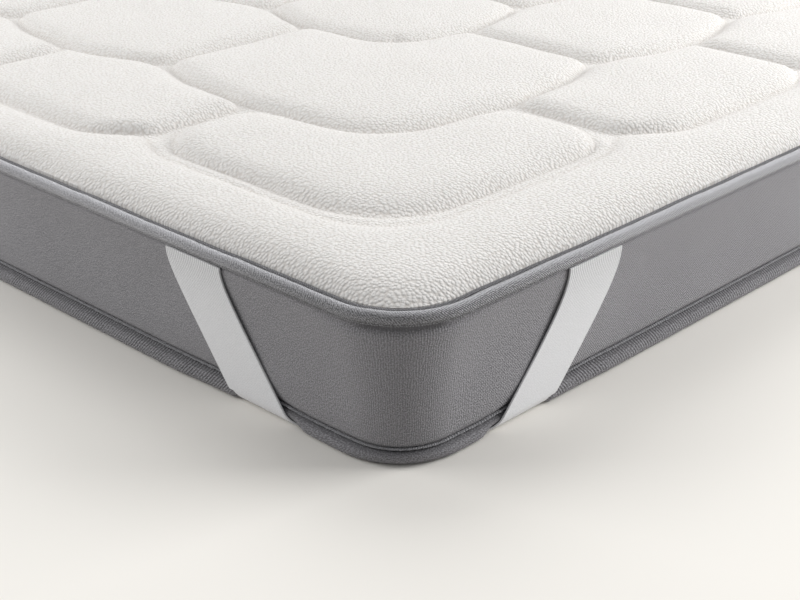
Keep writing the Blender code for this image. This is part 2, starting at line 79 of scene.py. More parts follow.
# Edge profiles, bottom to top: (inset, height, corner radius there).
BASE_EDGE = np.array([
    (0.0020, 0.0000, 0.036),
    (0.0007, 0.0001, 0.036),
    (-0.0004, 0.0004, 0.036),
    (-0.0014, 0.0009, 0.036),
    (-0.0021, 0.0017, 0.0355),
    (-0.0025, 0.0027, 0.035),
    (-0.0026, 0.0038, 0.034),
    (-0.0023, 0.0050, 0.033),
    (-0.0018, 0.0062, 0.032),
    (-0.0010, 0.0074, 0.031),
    (0.0001, 0.0084, 0.030),
    (0.0016, BASE_TOP, 0.030),
])
BORDER_EDGE = np.array([
    (0.0034, BORDER_BOTTOM, 0.030),
    (0.0028, 0.0104, 0.030),
    (0.0021, 0.0114, 0.030),
    (0.0016, 0.0124, 0.030),
    (0.0014, 0.0140, 0.0305),
    (0.0014, 0.0180, 0.0313),
    (0.0015, 0.0240, 0.0325),
    (0.0018, 0.0310, 0.0338),
    (0.0020, 0.0380, 0.0352),
    (0.0021, 0.0460, 0.0372),
    (0.0020, 0.0530, 0.0390),
    (0.0017, 0.0590, 0.0410),
    (0.0016, 0.0625, 0.042),
    (0.0018, 0.0645, 0.042),
    (0.0026, BORDER_TOP, 0.042),
])
# Round the corners the lower seam hangs lower, by this much up to the first distance from
# the plan's sharp corner, and less and less up to the second.  The border's lower part
# goes down with it, less and less over the height.
SEAM_DROP = 0.0024
SEAM_DROP_REACH = (0.060, 0.120)
DROP_HEIGHT = 0.022
# Beyond the straps the lower side stands out by this, on a long and on a short side.  The
# bulge grows over the reach from its start, and fades up the border over its height.
LOWER_BULGE = (0.0024, 0.0010)
BULGE_START, BULGE_REACH, BULGE_HEIGHT = 0.110, 0.060, 0.045
# Under the binding at a corner the border is tucked in by this.  In this pair and those
# below, a change begins at the first value and is complete the second value farther on.
TUCK = 0.0018
TUCK_REACH = (0.030, 0.035)
TUCK_LEVEL = (0.0605, 0.004)
# Round a corner the border's knit shows upright wales and gets painted shade, and beyond
# the straps the base's edge is gathered.
WALE_AND_SHADE_REACH = (0.02, 0.09)
GATHERED_EDGE = (0.085, 0.03)

# Edge binding: an outer roll with a turned lower edge, and a lower inner fold.
ROLL_RADIUS = 0.00335
ROLL_INSET = 0.0024
FOLD_INSET = 0.0077
FOLD_LEVEL = 0.0697
FOLD_HALF_WIDTH = 0.0017
FOLD_HALF_HEIGHT = 0.0012
TAPE_INNER = 0.0094
# Away from a corner the tape sinks by this share of its height.  Round a corner its inner
# part is lifted, from about this inset, and the tape gets this much more painted shade.
TAPE_REACH = (0.05, 0.12)
TAPE_SINK = 0.09
FOLD_START = (0.0052, 0.0008)
FOLD_LIFT = 0.0005
CORNER_PAINTED_SHADE = 0.33
# Ridges and grooves of the roll: height, then angle and reach in degrees.
ROLL_FORM = ((0.00030, 231, 6), (-0.00045, 216, 5), (0.00025, 100, 16))

# Lip of the lower seam.
LIP_INSET = 0.0016
LIP_LEVEL = 0.01025
LIP_HALF_DEPTH = 0.0010
LIP_HALF_HEIGHT = 0.00036

# Quilting: seams parallel to the sides, and joints between the pillows of each ring.
PANEL_EDGE = 0.0097
LONG_SIDE_LINES = (PANEL_EDGE, 0.063, 0.155, 0.303, HALF_WIDTH)
SHORT_SIDE_LINES = (PANEL_EDGE, 0.070, 0.166, 0.297, 0.445)
RINGS = 4
MIDDLE_RING = 3
LONG_SIDE_JOINTS = {1: (0.272, 9), 2: (0.380, 8), 3: (0.445, 7)}
SHORT_SIDE_JOINTS = {1: (0.261, 3), 2: (0.368, 2), 3: (HALF_WIDTH, 1)}
PANEL_EDGE_LEVEL = 0.0712
CROWN_SHARES = (0.0, 0.95, 1.02, 1.02)
SHOULDERS = (0.0, 0.040, 0.056, 0.060)
FIRM_REACH = 0.0135
RIM_FIRM = 0.42
BAND_RISE = 0.0014
END_RADII = (0.0, 0.012, 0.014, 0.014)
CORNER_PILLOW_END_RADIUS = 0.028
QUILT_RADII = (TOP_CORNER_RADIUS - PANEL_EDGE, 0.052, 0.054, 0.040, 0.0)
INWARD_WAVES = (0.0130, 0.0140, 0.0120)
OUTWARD_WAVES = (0.0, 0.0050, 0.0050)
WAVE_REACHES = (0.022, 0.030, 0.032)
RIM_BULGE = 0.0090
RIM_BULGE_REACH = 0.040
# Near a diagonal of the plan the waves fade over this share of a ring, and the widths of
# the rings on the two sides blend over the other.
WAVE_FADE = 0.5
WIDTH_BLEND = 0.3
# The corner's band fades over this before the first joint, and on the rim over its reach.
BAND_FADE = 0.018
BAND_REACH = 0.020
# Beside the band there is a groove of this depth and reach.
BAND_GROOVE = (0.0004, 0.0011)
# Beside a seam the cloth is creased over this, and darkened there with painted shade.
CREASE_REACH = 0.0022

# The cover is a little uneven: depths of the slow and the quick waves, which grow from the
# first distance from its edge over the second.
COVER_SWAY = (0.00028, 0.00018)
SWAY_REACH = (0.012, 0.030)
# The edges are uneven in waves round the plan line.  Each wave has its number round and its
# seed, and a depth for what it moves.
BORDER_WAVES, BORDER_SWAY = ((40, 3), (110, 4)), (0.00022, 0.00008)
BASE_WAVES, BASE_SWAY = ((150, 11), (420, 12)), (0.00022, 0.0001)
TAPE_WAVES, TAPE_RISE, TAPE_SWAY = ((55, 21), (190, 22)), (0.00016, 0.00010), (-0.00010, 0.00014)
LIP_SWELL_WAVE, LIP_SWELL = (900, 31), 0.10
LIP_SWAY_WAVE, LIP_SWAY = (120, 32), 0.00012
# The lip is thicker and thinner by turns: distance between two stitches, and share.
LIP_STITCH, LIP_STITCH_SHARE = 0.0062, 0.16

# Distance between two stations round the plan line, and steps round a corner.
BORDER_STATIONS = (0.006, 14)
BASE_STATIONS = (0.012, 12)
TAPE_STATIONS = (0.006, 20)
LIP_STATIONS = (0.0022, 24)
# Beside the corners, up to a reach, the base's stations are nearer together for the straps'
# channels, and as far in from the edge its underside has close rows.
CHANNEL_STEP, CHANNEL_REACH = 0.0032, 0.128
UNDER_INSETS = np.concatenate([[CHANNEL_REACH, 0.118], np.arange(0.108, 0.003, -0.0042), [0.0028]])
# Beside its strap a channel ends at the first distance, and fades over the second.
CHANNEL_EDGE, CHANNEL_FADE = 0.0066, 0.0058

# Grid lines of the cover beside each seam and joint, and between them.
SEAM_OFFSETS = np.array([0.0, 0.0014, 0.0030, 0.0048, 0.0075, 0.0115, 0.0170])
NEAREST_LINES = 0.0011
FILL_STEP = 0.0095

# Straps: each leaves the binding straight down, leans out a little over its length, and
# after a short lag slants towards the corner.
STRAP_TOP_INSET = 0.0003
STRAP_TOP_LEVEL = BORDER_TOP - 0.0001
STRAP_FOLD_INSET = -0.0022
STRAP_FOLD_RADIUS = 0.0060
STRAP_DIAGONAL = 0.044
STRAP_CLEARANCE = 0.0005
# Beside a strap the border's swell fades over this reach.  It falls to the share at the
# lower seam, over the height above it, and is measured from the inset of the border's face.
SWELL_REACH = 0.045
SWELL_LOW = 0.42
SWELL_HEIGHT = 0.012
SWELL_FACE = 0.0016
# Rows of half a strap on the side, round the bottom edge and beneath: for the band itself,
# and for the channel that it presses.
ROUTE_STEPS = (46, 12, 40)
ROUGH_STEPS = (1, 3, 14)
# A band is gathered under the binding, and less and less over this.
GATHER_REACH = 0.025
STRAP_CORNERS = {
    "strap_back_right": 0,
    "strap_back_left": 1,
    "strap_front_left": 2,
    "strap_front_right": 3,
}


# Sizes in the cloth: flecks of the base, threads of the tape, lip and elastic, cross
# threads of the elastic, and ribs of the lip.
BASE_FLECK = 0.0009
THREAD = 0.0007
CROSS_THREAD = 0.0011
LIP_RIB = 0.0017


# ---------------------------------------------------------------- settings


def metres(name, description, default, precision=4):
    """A setting in metres."""
    return bpy.props.FloatProperty(
        name=name, description=description, default=default, unit="LENGTH", precision=precision)


def power(name, description, default):
    """A light's power in watts."""
    return bpy.props.FloatProperty(
        name=name, description=description, default=default, unit="POWER")


def triple(name, description, default, **options):
    """A setting of three numbers."""
    return bpy.props.FloatVectorProperty(
        name=name, description=description, default=default, size=3, **options)


def paint(name, description, default):
    """A colour setting."""
    return triple(name, description, default, subtype="COLOR", min=0, max=1)


class TopperQuiltSettings(bpy.types.PropertyGroup):
    """Sizes and colour of the quilted cover"""

    seam_level: metres("Seam level", "Height of the sewn lines", 0.0755)
    pillow_crown: metres("Pillow crown", "How far a pillow rises over its seams", 0.0080)
    rim_crown: metres("Rim crown", "How far the rim pillow rises between its edges", 0.0044)
    rim_shoulder: metres("Rim shoulder", "Width over which the rim pillow rises", 0.028)
    wide_seam: metres(
        "Corner band", "Half the width of the flat band round a corner pillow", 0.0047)
    narrow_seam: metres("Seam width", "Half the width of the other sewn lines", 0.0010)
    firm: bpy.props.FloatProperty(
        name="Firm share", description="Share of a pillow's rise that comes steeply at its seam",
        default=0.62, min=0.0, max=1.0)
    knit_pitch: metres("Knit pitch", "Distance between two rows of the knit", 0.0019)
    colour: paint("Colour", "Colour of the white knit", (0.825, 0.808, 0.789))


class TopperEdgeSettings(bpy.types.PropertyGroup):
    """Sizes and colours of the border, base, binding and seam lip"""

    knit_pitch: metres("Border knit pitch", "Distance between two ribs of the grey knit", 0.0013)
    gather_pitch: metres(
        "Gather pitch", "Distance between two gathers of the base's edge", 0.0019)
    rib_pitch: metres(
        "Binding rib pitch", "Distance between two slanted ribs of the tape", 0.0013)
    border_colour: paint("Border colour", "Colour of the grey knit", (0.346, 0.339, 0.357))
    base_colour: paint("Base colour", "Colour of the base cloth", (0.288, 0.282, 0.298))
    binding_colour: paint("Binding colour", "Colour of the tape", (0.620, 0.616, 0.645))


class TopperStrapSettings(bpy.types.PropertyGroup):
    """Sizes and colour of the elastic straps"""

    width: metres("Width", "Width of the elastic", 0.033)
    thickness: metres("Thickness", "Thickness of the elastic", 0.0012)
    level_width: metres("Level width", "Width of a strap on the side, measured level", 0.0408)
    on_long_side: triple(
        "On a long side", "Place of the top, slope, and lag of the slope",
        (0.1396, 0.875, 0.0072), precision=4)
    on_short_side: triple(
        "On a short side", "Place of the top, slope, and lag of the slope",
        (0.1346, 1.048, 0.0129), precision=4)
    ribs: bpy.props.IntProperty(
        name="Ribs", description="Number of lengthwise ribs across the elastic",
        default=27, min=5, max=60)
    rib_depth: metres("Rib depth", "Depth of the grooves between the ribs", 0.00012, 5)
    colour: paint("Colour", "Colour of the elastic", (0.772, 0.774, 0.788))


class TopperStageSettings(bpy.types.PropertyGroup):
    """Camera, lights and floor"""

    lens: bpy.props.FloatProperty(
        name="Lens", description="Focal length in millimetres", default=67.69)
    pitch: bpy.props.FloatProperty(
        name="Pitch", description="How far the camera looks down", subtype="ANGLE",
        default=math.radians(24.81))
    heading: bpy.props.FloatProperty(
        name="Heading", description="Direction of the view, from +Y towards +X",
        subtype="ANGLE", default=math.radians(45.94))
    camera_place: triple(
        "Camera place", "From the corner of the plan, in heights of the topper",
        (-5.423, -5.237, 4.652))
    top_light: power("Top light", "Power of the softbox above", 76.0)
    right_light: power("Right light", "Power of the softbox on the right", 18.2)
    left_light: power("Left light", "Power of the softbox on the left", 9.6)
    ambient: bpy.props.FloatProperty(
        name="Ambient", description="Strength of the even light all round", default=0.35)
    floor_colour: paint("Floor colour", "Colour of the floor", (0.865, 0.838, 0.790))


# ---------------------------------------------------------------- meshes


def smooth_step(values):
    """0 below 0 and 1 above 1, with an S-curve t * t * (3 - 2 * t) between."""
    t = np.clip(values, 0, 1)
    return t * t * (3 - 2 * t)


def ramp(values, start, reach):
    """0 up to the start and 1 past the reach beyond it, with an S-curve between."""
    return smooth_step((values - start) / reach)


def hump(values, centre, width):
    """Bell curve of height 1 round the centre."""
    return np.exp(-(((values - centre) / width) ** 2))


def wander(run, waves, seed):
    """Uneven wave of about +-1 at each station, which closes after the run's last value.

    It is the mean of five sines with whole numbers of waves round the length, spread
    between half and twice the given number, each with its own phase.
    """
    random = np.random.default_rng(seed)
    counts = np.round(waves * np.array([0.5, 0.77, 1.0, 1.46, 2.0])) + random.integers(0, 3, 5)
    phases = random.uniform(0, 2 * math.pi, 5)
    turns = 2 * math.pi * run[:-1, None] / run[-1] * counts + phases
    return np.sin(turns).mean(axis=-1) * 1.8


def sway(run, waves, depths):
    """Sum of the waves, each times its depth."""
    return sum(depth * wander(run, *wave) for wave, depth in zip(waves, depths))


def signed_volume(points, faces):
    """Six times the volume: the sum of triple products over the fans of the faces."""
    total = 0.0
    for step in range(1, faces.shape[1] - 1):
        first, second, third = (points[faces[:, k]] for k in (0, step, step + 1))
        total += np.einsum("ij,ij->", first, np.cross(second, third))
    return total


def add_piece(name, node, points, faces, uvs, caps, material, attributes=None):
    """Object at the origin from arrays of points, quads, quad UVs and end caps.

    The order of every face is turned round if the enclosed volume comes out negative,
    so that faces point outwards.  Caps get UVs of zero.
    """
    volume = signed_volume(points, faces)
    for cap in caps:
        volume += signed_volume(points, np.asarray(cap)[None, :])
    if volume < 0:
        faces, uvs = faces[:, ::-1], uvs[:, ::-1]
        caps = [cap[::-1] for cap in caps]
    mesh = bpy.data.meshes.new(name)
    mesh.from_pydata(points.tolist(), [], faces.tolist() + [list(map(int, cap)) for cap in caps])
    flat_uvs = np.zeros((len(mesh.loops), 2), dtype=np.float32)
    flat_uvs[: uvs.shape[0] * 4] = uvs.reshape(-1, 2)
    mesh.uv_layers.new(name="UVMap").data.foreach_set("uv", flat_uvs.ravel())
    for title, values in (attributes or {}).items():
        layer = mesh.attributes.new(title, "FLOAT", "POINT")
        layer.data.foreach_set("value", np.asarray(values, dtype=np.float32).ravel())
    mesh.validate()
    mesh.shade_smooth()
    mesh.set_sharp_from_angle(angle=math.radians(50))
    mesh.materials.append(material)
    piece = bpy.data.objects.new(name, mesh)
    bpy.context.scene.collection.objects.link(piece)
    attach(piece, "root")
    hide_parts(node)
    return piece


def grid_faces(rows, columns, close_rows=False, close_columns=True):
    """Quads of a grid of points stored row by row, and the (row, column) of each corner."""
    row = np.arange(rows if close_rows else rows - 1)[:, None]
    column = np.arange(columns if close_columns else columns - 1)[None, :]
    row, column = np.broadcast_arrays(row, column)
    corner_rows = np.stack([row, row, row + 1, row + 1], axis=-1).reshape(-1, 4)
    corner_columns = np.stack([column, column + 1, column + 1, column], axis=-1).reshape(-1, 4)
    faces = (corner_rows % rows) * columns + corner_columns % columns
    return faces, corner_rows, corner_columns


def stations(step, corner_steps, near_step=None, near=0.0):
    """Stations round the plan line, anticlockwise.

    Returns signs, normals and the run along the line, which has one more value than there
    are stations.  A place is signs * (half size - radius) + (radius - inset) * normal.
    Beside the corners, up to the distance near, the steps may be shorter.
    """
    signs, normals, steps = [], [], []
    for quarter in range(4):
        here, there = CORNERS[quarter], CORNERS[(quarter + 1) % 4]
        angles = math.pi / 2 * (quarter + np.linspace(0, 1, corner_steps + 1))
        signs.append(np.repeat(here[None, :], corner_steps + 1, axis=0))
        normals.append(np.stack([np.cos(angles), np.sin(angles)], axis=1))
        arc = math.pi / 2 * TOP_CORNER_RADIUS / corner_steps
        half = HALF_WIDTH if here[0] != there[0] else HALF_LENGTH
        length = 2 * (half - TOP_CORNER_RADIUS)
        count = int(round((length - 2 * near) / step))
        shares = np.linspace(near, length - near, count + 1)
        if near_step:
            beside = np.linspace(0, near, int(round(near / near_step)) + 1)
            shares = np.concatenate([beside[:-1], shares, length - beside[-2::-1]])
        shares = shares / length
        inner = shares[1:-1, None]
        signs.append(here + (there - here) * inner)
        normals.append(np.repeat(normals[-1][-1:], len(inner), axis=0))
        steps += [np.full(corner_steps, arc), np.diff(shares) * length]
    run = np.concatenate([[0.0], np.cumsum(np.concatenate(steps))])
    return np.concatenate(signs), np.concatenate(normals), run


def swept_points(signs, normals, inset, height, radius):
    """Points of a profile at every station: arrays of (rows, stations)."""
    halves = np.array([HALF_WIDTH, HALF_LENGTH])
    core = signs[None, :, :] * (halves[None, None, :] - radius[..., None])
    place = core + (radius - inset)[..., None] * normals[None, :, :]
    return np.concatenate([place, height[..., None]], axis=-1)


def per_station(profile, count):
    """Each column of a profile as an array of (rows, stations)."""
    return (column[:, None] + np.zeros(count) for column in profile.T)


def end_caps(rows, columns):
    """The first and the last row of a grid, as faces that look away from each other."""
    return [np.arange(columns)[::-1], (rows - 1) * columns + np.arange(columns)]


def add_swept(name, node, places, shape, girth, material, attributes=None, closed=False):
    """Piece from a profile carried round, a closed section or one with two end caps.

    UVs are in metres: the run round the plan line, and the girth up the profile.
    """
    signs, normals, run = places
    points = swept_points(signs, normals, *shape).reshape(-1, 3)
    size = len(shape[0]), len(signs)
    faces, rows, columns = grid_faces(*size, close_rows=closed)
    uvs = np.stack([run[columns], girth[rows]], axis=-1)
    caps = [] if closed else end_caps(*size)
    return add_piece(name, node, points, faces, uvs, caps, material, attributes)


def girth_of(profile):
    """Length along a profile of (inset, height) pairs, from its first point."""
    steps = np.hypot(*np.diff(profile[:, :2], axis=0).T)
    return np.concatenate([[0.0], np.cumsum(steps)])


def refine(profile, steps):
    """Profile with more rows, by a curve through its points (Catmull-Rom by centred slopes)."""
    count = len(profile)
    slopes = np.gradient(profile, axis=0)
    at = np.linspace(0, count - 1, (count - 1) * steps + 1)
    low = np.minimum(at.astype(int), count - 2)
    t = (at - low)[:, None]
    start, end = profile[low], profile[low + 1]
    ease = t * t * (3 - 2 * t)
    curved = start + (end - start) * ease
    curved += slopes[low] * (t * (1 - t) ** 2) - slopes[low + 1] * (t * t * (1 - t))
    return curved


# ---------------------------------------------------------------- quilted cover


def quilt_place(x, y):
    """Places along the sides, insets and counts of lines, each in x and in y.

    A count is 0 on the panel's edge and 1, 2, 3, 4 on the seams, even between them.
    """
    inset_x, inset_y = HALF_WIDTH - np.abs(x), HALF_LENGTH - np.abs(y)
    return (x + HALF_WIDTH, y + HALF_LENGTH, inset_x, inset_y,
            np.interp(inset_x, LONG_SIDE_LINES, range(RINGS + 1)),
            np.interp(inset_y, SHORT_SIDE_LINES, range(RINGS + 1)))


def joint_places(joints, ring, side_length):
    """Places of a ring's joints along one side, the same from either end."""
    if ring not in joints:
        return np.array([])
    first, count = joints[ring]
    return np.linspace(first, side_length - first, count) if count > 1 else np.array([first])


def nearest(along, places):
    """Distance from each value to the nearest of some places."""
    return np.min(np.abs(along[:, None] - places[None, :]), axis=1)


def bumps(along, places, reach):
    """Sum of bell curves of height 1, one at each place."""
    if len(places) == 0:
        return np.zeros_like(along)
    return np.sum(hump(along[:, None], places[None, :], reach), axis=1)


def seam_wave(along, joints, side_length, count):
    """How far inwards the quilting lines move along one side.

    Seam n moves in at the joints inside it and out at those outside it, and past the
    corner pillow the first seam moves out to stay there.  Between two seams the shift
    fades with the distance from each.
    """
    shift = np.zeros_like(along)
    for seam in range(1, RINGS):
        reach = WAVE_REACHES[seam - 1]
        inner = bumps(along, joint_places(joints, seam, side_length), reach)
        outer = bumps(along, joint_places(joints, seam - 1, side_length), reach)
        near = np.clip(1 - np.abs(count - seam), 0, 1)
        shift += near * (INWARD_WAVES[seam - 1] * inner - OUTWARD_WAVES[seam - 1] * outer)
    past_corner = np.minimum(along, side_length - along) - joints[1][0]
    bulge = RIM_BULGE * smooth_step(past_corner / RIM_BULGE_REACH)
    return shift - bulge * np.clip(1 - np.abs(count - 1), 0, 1)


def bend(x, y):
    """Move straight quilting lines to their real places.

    Round a corner the lines that meet there turn along an arc: a point at the distance e
    from the lines' corner moves to the angle 45 * (1 - e / radius) degrees from the start
    of the arc.  Elsewhere each seam follows its wave.
    """
    along_x, along_y, inset_x, inset_y, count_x, count_y = quilt_place(x, y)
    count = np.minimum(count_x, count_y)
    on_long_side = count_x <= count_y
    fade = smooth_step(np.abs(count_x - count_y) / WAVE_FADE)

    numbers = range(RINGS + 1)
    radius = np.interp(count, numbers, QUILT_RADII)
    corner_x = np.interp(count, numbers, LONG_SIDE_LINES)
    corner_y = np.interp(count, numbers, SHORT_SIDE_LINES)
    distance = np.where(on_long_side, inset_y - corner_y, inset_x - corner_x)
    turning = (distance < radius) & (radius > 0)
    angle = math.pi / 4 * (1 - distance / np.maximum(radius, 1e-9))
    near = radius * (1 - np.cos(angle))
    far = radius * (1 - np.sin(angle))
    new_x = np.where(turning, corner_x + np.where(on_long_side, near, far), inset_x)
    new_y = np.where(turning, corner_y + np.where(on_long_side, far, near), inset_y)

    wave_x = seam_wave(along_y, LONG_SIDE_JOINTS, 2 * HALF_LENGTH, count) * fade
    wave_y = seam_wave(along_x, SHORT_SIDE_JOINTS, 2 * HALF_WIDTH, count) * fade
    new_x = new_x + np.where(on_long_side, wave_x, 0)
    new_y = new_y + np.where(on_long_side, 0, wave_y)
    return np.sign(x) * (HALF_WIDTH - new_x), np.sign(y) * (HALF_LENGTH - new_y)


def pillow_rise(distance, reach, firm):
    """Rises from 0 at a seam to 1 at the reach, steeply at first.

    It is the firm share of 1 - (1 - s) squared, where s grows to 1 over the firm reach,
    and for the rest the same curve over the whole reach.
    """
    s = np.clip(distance / FIRM_REACH, 0, 1)
    t = np.clip(distance / reach, 0, 1)
    return firm * (1 - (1 - s) ** 2) + (1 - firm) * (1 - (1 - t) ** 2)


def rounded_distance(across, along, radius):
    """Distance inside a pillow's outline with rounded corners, negative outside it."""
    short_across = np.maximum(radius - across, 0)
    short_along = np.maximum(radius - along, 0)
    beyond = np.maximum(np.minimum(across, along) - radius, 0)
    return radius - np.hypot(short_across, short_along) + beyond


def relief(x, y, quilt):
    """Height of the quilted face over the straight quilting lines, and how near a seam is, which
    the knit paints as shade.

    A pillow rises with the distance inside its sewn outline, and the corner pillows have
    a slightly raised band outside theirs.
    """
    along_x, along_y, inset_x, inset_y, count_x, count_y = quilt_place(x, y)
    count = np.minimum(count_x, count_y)
    on_long_side = count_x <= count_y
    blend = 0.5 + 0.5 * np.tanh((count_x - count_y) / WIDTH_BLEND)
    seam, wide, narrow = quilt.seam_level, quilt.wide_seam, quilt.narrow_seam

    first_long, first_short = LONG_SIDE_JOINTS[1][0], SHORT_SIDE_JOINTS[1][0]
    to_joint = np.where(on_long_side, first_long - inset_y, first_short - inset_x)
    beside_corner = smooth_step(to_joint / BAND_FADE)
    half_band = narrow + (wide - narrow) * beside_corner

    height = np.full_like(x, seam)
    sewn = np.full_like(x, 1.0)
    for number in range(RINGS):
        here = (count >= number) & (count <= number + 1)
        width_x, width_y = np.diff(LONG_SIDE_LINES)[number], np.diff(SHORT_SIDE_LINES)[number]
        width = width_x + (width_y - width_x) * blend
        outer = (count - number) * width
        inner = (number + 1 - count) * width
        if number == 0:
            edge_rise = pillow_rise(outer, quilt.rim_shoulder, RIM_FIRM)
            inner_rise = pillow_rise(inner - half_band, quilt.rim_shoulder, RIM_FIRM)
            level = PANEL_EDGE_LEVEL + (seam - PANEL_EDGE_LEVEL) * edge_rise
            band = BAND_RISE * (1 - ramp(inner, half_band, BAND_REACH))
            depth, groove_reach = BAND_GROOVE
            band = beside_corner * (band - depth * hump(inner, half_band, groove_reach))
            height = np.where(here, level + quilt.rim_crown * edge_rise * inner_rise + band, height)
            sewn = np.where(here, np.abs(inner - half_band), sewn)
            continue
        joint_x = nearest(along_y, joint_places(LONG_SIDE_JOINTS, number, 2 * HALF_LENGTH))
        joint_y = nearest(along_x, joint_places(SHORT_SIDE_JOINTS, number, 2 * HALF_WIDTH))
        across = np.minimum(outer - narrow, inner - narrow)
        along = np.where(on_long_side, joint_x, joint_y) - narrow
        end_radius = np.full_like(x, END_RADII[number])
        if number == 1:
            corner_pillow = (inset_x < first_short) & (inset_y < first_long)
            across = np.minimum(outer - half_band, inner - narrow)
            end_radius = np.where(corner_pillow, CORNER_PILLOW_END_RADIUS, end_radius)
            along = along - np.where(corner_pillow, wide, 0)
        if number == MIDDLE_RING:
            from_seam = inset_x - LONG_SIDE_LINES[MIDDLE_RING]
            from_middle = LONG_SIDE_LINES[RINGS] - inset_x
            across = np.minimum(from_seam, from_middle) - narrow
            along = np.minimum(joint_x, inset_y - SHORT_SIDE_LINES[MIDDLE_RING]) - narrow
        distance = rounded_distance(across, along, end_radius)
        rise = pillow_rise(distance, SHOULDERS[number], quilt.firm)
        pillow = seam + quilt.pillow_crown * CROWN_SHARES[number] * rise
        if number == 1:
            band = BAND_RISE * smooth_step(-distance / half_band)
            pillow = pillow + beside_corner * band * (distance < 0)
        height = np.where(here, pillow, height)
        sewn = np.where(here, np.abs(distance), sewn)
    return height, np.exp(-((sewn / CREASE_REACH) ** 2))


def graded_lines(firm, soft, fill, half, low):
    """Sorted grid lines from the edge to the middle: all the firm ones, then each soft or
    fill line that isn't too near one that is already there."""
    lines = list(firm)
    for places, least in ((soft, NEAREST_LINES), (fill, FILL_STEP * 0.55)):
        for place in places:
            if low < place <= half and min(abs(place - line) for line in lines) > least:
                lines.append(place)
    return np.array(sorted(lines))


def cover_lines():
    """Grid lines of the cover on its straight quilting, as x and y places.

    The lines beside a seam have the same share of the ring's width in x and in y, so that
    they meet on the corner's diagonal.
    """
    counts = []
    for number in range(RINGS):
        width = np.diff(LONG_SIDE_LINES)[number]
        near = SEAM_OFFSETS / width
        between = int(round((width - 2 * SEAM_OFFSETS[-1]) / FILL_STEP))
        counts.append(number + np.concatenate([
            near, 1 - near, np.linspace(near[-1], 1 - near[-1], between + 1)[1:-1]]))
    counts = np.unique(np.round(np.concatenate(counts), 6))
    result = []
    for lines, joints, half in (
        (LONG_SIDE_LINES, SHORT_SIDE_JOINTS, HALF_WIDTH),
        (SHORT_SIDE_LINES, LONG_SIDE_JOINTS, HALF_LENGTH),
    ):
        firm = np.interp(counts, range(RINGS + 1), lines)
        places = np.concatenate([joint_places(joints, n, 2 * half) for n in range(1, RINGS)])
        soft = [place + sign * offset for offset in SEAM_OFFSETS for sign in (-1, 1)
                for place in places]
        fill = np.append(np.arange(lines[-1], half, FILL_STEP), half)
        insets = graded_lines(firm, soft, fill, half, PANEL_EDGE)
        outer = half - insets[insets < half - 1e-6]
        result.append(np.concatenate([-outer, [0.0], outer[::-1]]))
    return result


def quilted_cover(quilt, material):
    """The white cover: a height over a grid of lines, a straight skirt and a flat underside."""
    places_x, places_y = cover_lines()
    grid_y, grid_x = np.meshgrid(places_y, places_x, indexing="ij")
    x, y = grid_x.ravel(), grid_y.ravel()
    height, crease_shade = relief(x, y, quilt)
    from_edge = np.minimum(HALF_WIDTH - abs(x), HALF_LENGTH - abs(y))
    inside = ramp(from_edge, *SWAY_REACH)
    bent_x, bent_y = bend(x, y)
    slow = np.sin(bent_x * 71 + 1.3) * np.sin(bent_y * 57 + 0.4)
    quick = np.sin(bent_x * 133 + bent_y * 41 + 2.0) * np.sin(bent_y * 119 - bent_x * 37)
    height = height + (COVER_SWAY[0] * slow + COVER_SWAY[1] * quick) * inside * (1 - crease_shade)

    rows, columns = len(places_y), len(places_x)
    number = np.arange(rows * columns).reshape(rows, columns)
    rim = np.concatenate([number[0, :-1], number[:-1, -1], number[-1, :0:-1], number[:0:-1, 0]])
    top = np.stack([bent_x, bent_y, height], axis=1)
    hem = top[rim] * (1, 1, 0) + (0, 0, PANEL_BOTTOM)
    points = np.concatenate([top, hem])
    faces, _, _ = grid_faces(rows, columns, close_columns=False)
    below = rows * columns + np.arange(len(rim))
    skirt = np.stack([rim, below, np.roll(below, -1), np.roll(rim, -1)], axis=1)
    faces = np.concatenate([faces, skirt])
    uvs = points[faces][..., :2]
    # Beside the seams the cover's material paints shade by this share.
    crease_shades = np.concatenate([crease_shade, np.zeros(len(rim))])
    piece = add_piece("quilted_cover", "quilted_top", points, faces, uvs, [below[::-1]],
                      material, {"crease_shade": crease_shades})
    return piece


# ---------------------------------------------------------------- border, base, binding, lip


def corner_distance(signs, normals):
    """Distance of each station from the plan's sharp corner, along its side."""
    halves = np.array([HALF_WIDTH, HALF_LENGTH])
    place = signs * (halves - TOP_CORNER_RADIUS) + TOP_CORNER_RADIUS * normals
    return np.max(halves - np.abs(place), axis=1)


def seam_drop(from_corner):
    """How much lower the lower seam hangs: all of it round a corner, fading beyond."""
    near, far = SEAM_DROP_REACH
    return SEAM_DROP * (1 - ramp(from_corner, near, far - near))


def lower_bulge(from_corner, normals, height):
    """How far the lower side stands out beyond the straps, fading up the border.

    It is the most at the lower seam, and more on the long sides.
    """
    most = np.where(np.abs(normals[:, 0]) > np.abs(normals[:, 1]), *LOWER_BULGE)
    share = ramp(from_corner, BULGE_START, BULGE_REACH)
    return most * share * (1 - ramp(height, BORDER_BOTTOM, BULGE_HEIGHT))


def strap_swell(from_corner, normals, height, strap):
    """How far the border and its lip stand out to meet the straps.

    Where a strap's middle passes, the cloth comes up to its inner face.  Beside the strap
    that fades with the distance from it, and towards the lower seam to under a half.
    """
    on_long_side = np.abs(normals[:, 0]) > np.abs(normals[:, 1])
    drop = STRAP_TOP_LEVEL - height
    middle = np.where(on_long_side, strap_along(drop, strap.on_long_side),
                      strap_along(drop, strap.on_short_side))
    beside = np.abs(from_corner - middle) - strap.level_width / 2
    near = 1 - smooth_step(beside / SWELL_REACH)
    wanted = strap_inset(height, strap) + strap.thickness / 2 + STRAP_CLEARANCE
    low = SWELL_LOW + (1 - SWELL_LOW) * ramp(height, BORDER_BOTTOM, SWELL_HEIGHT)
    return near * low * np.maximum(SWELL_FACE - wanted, 0)


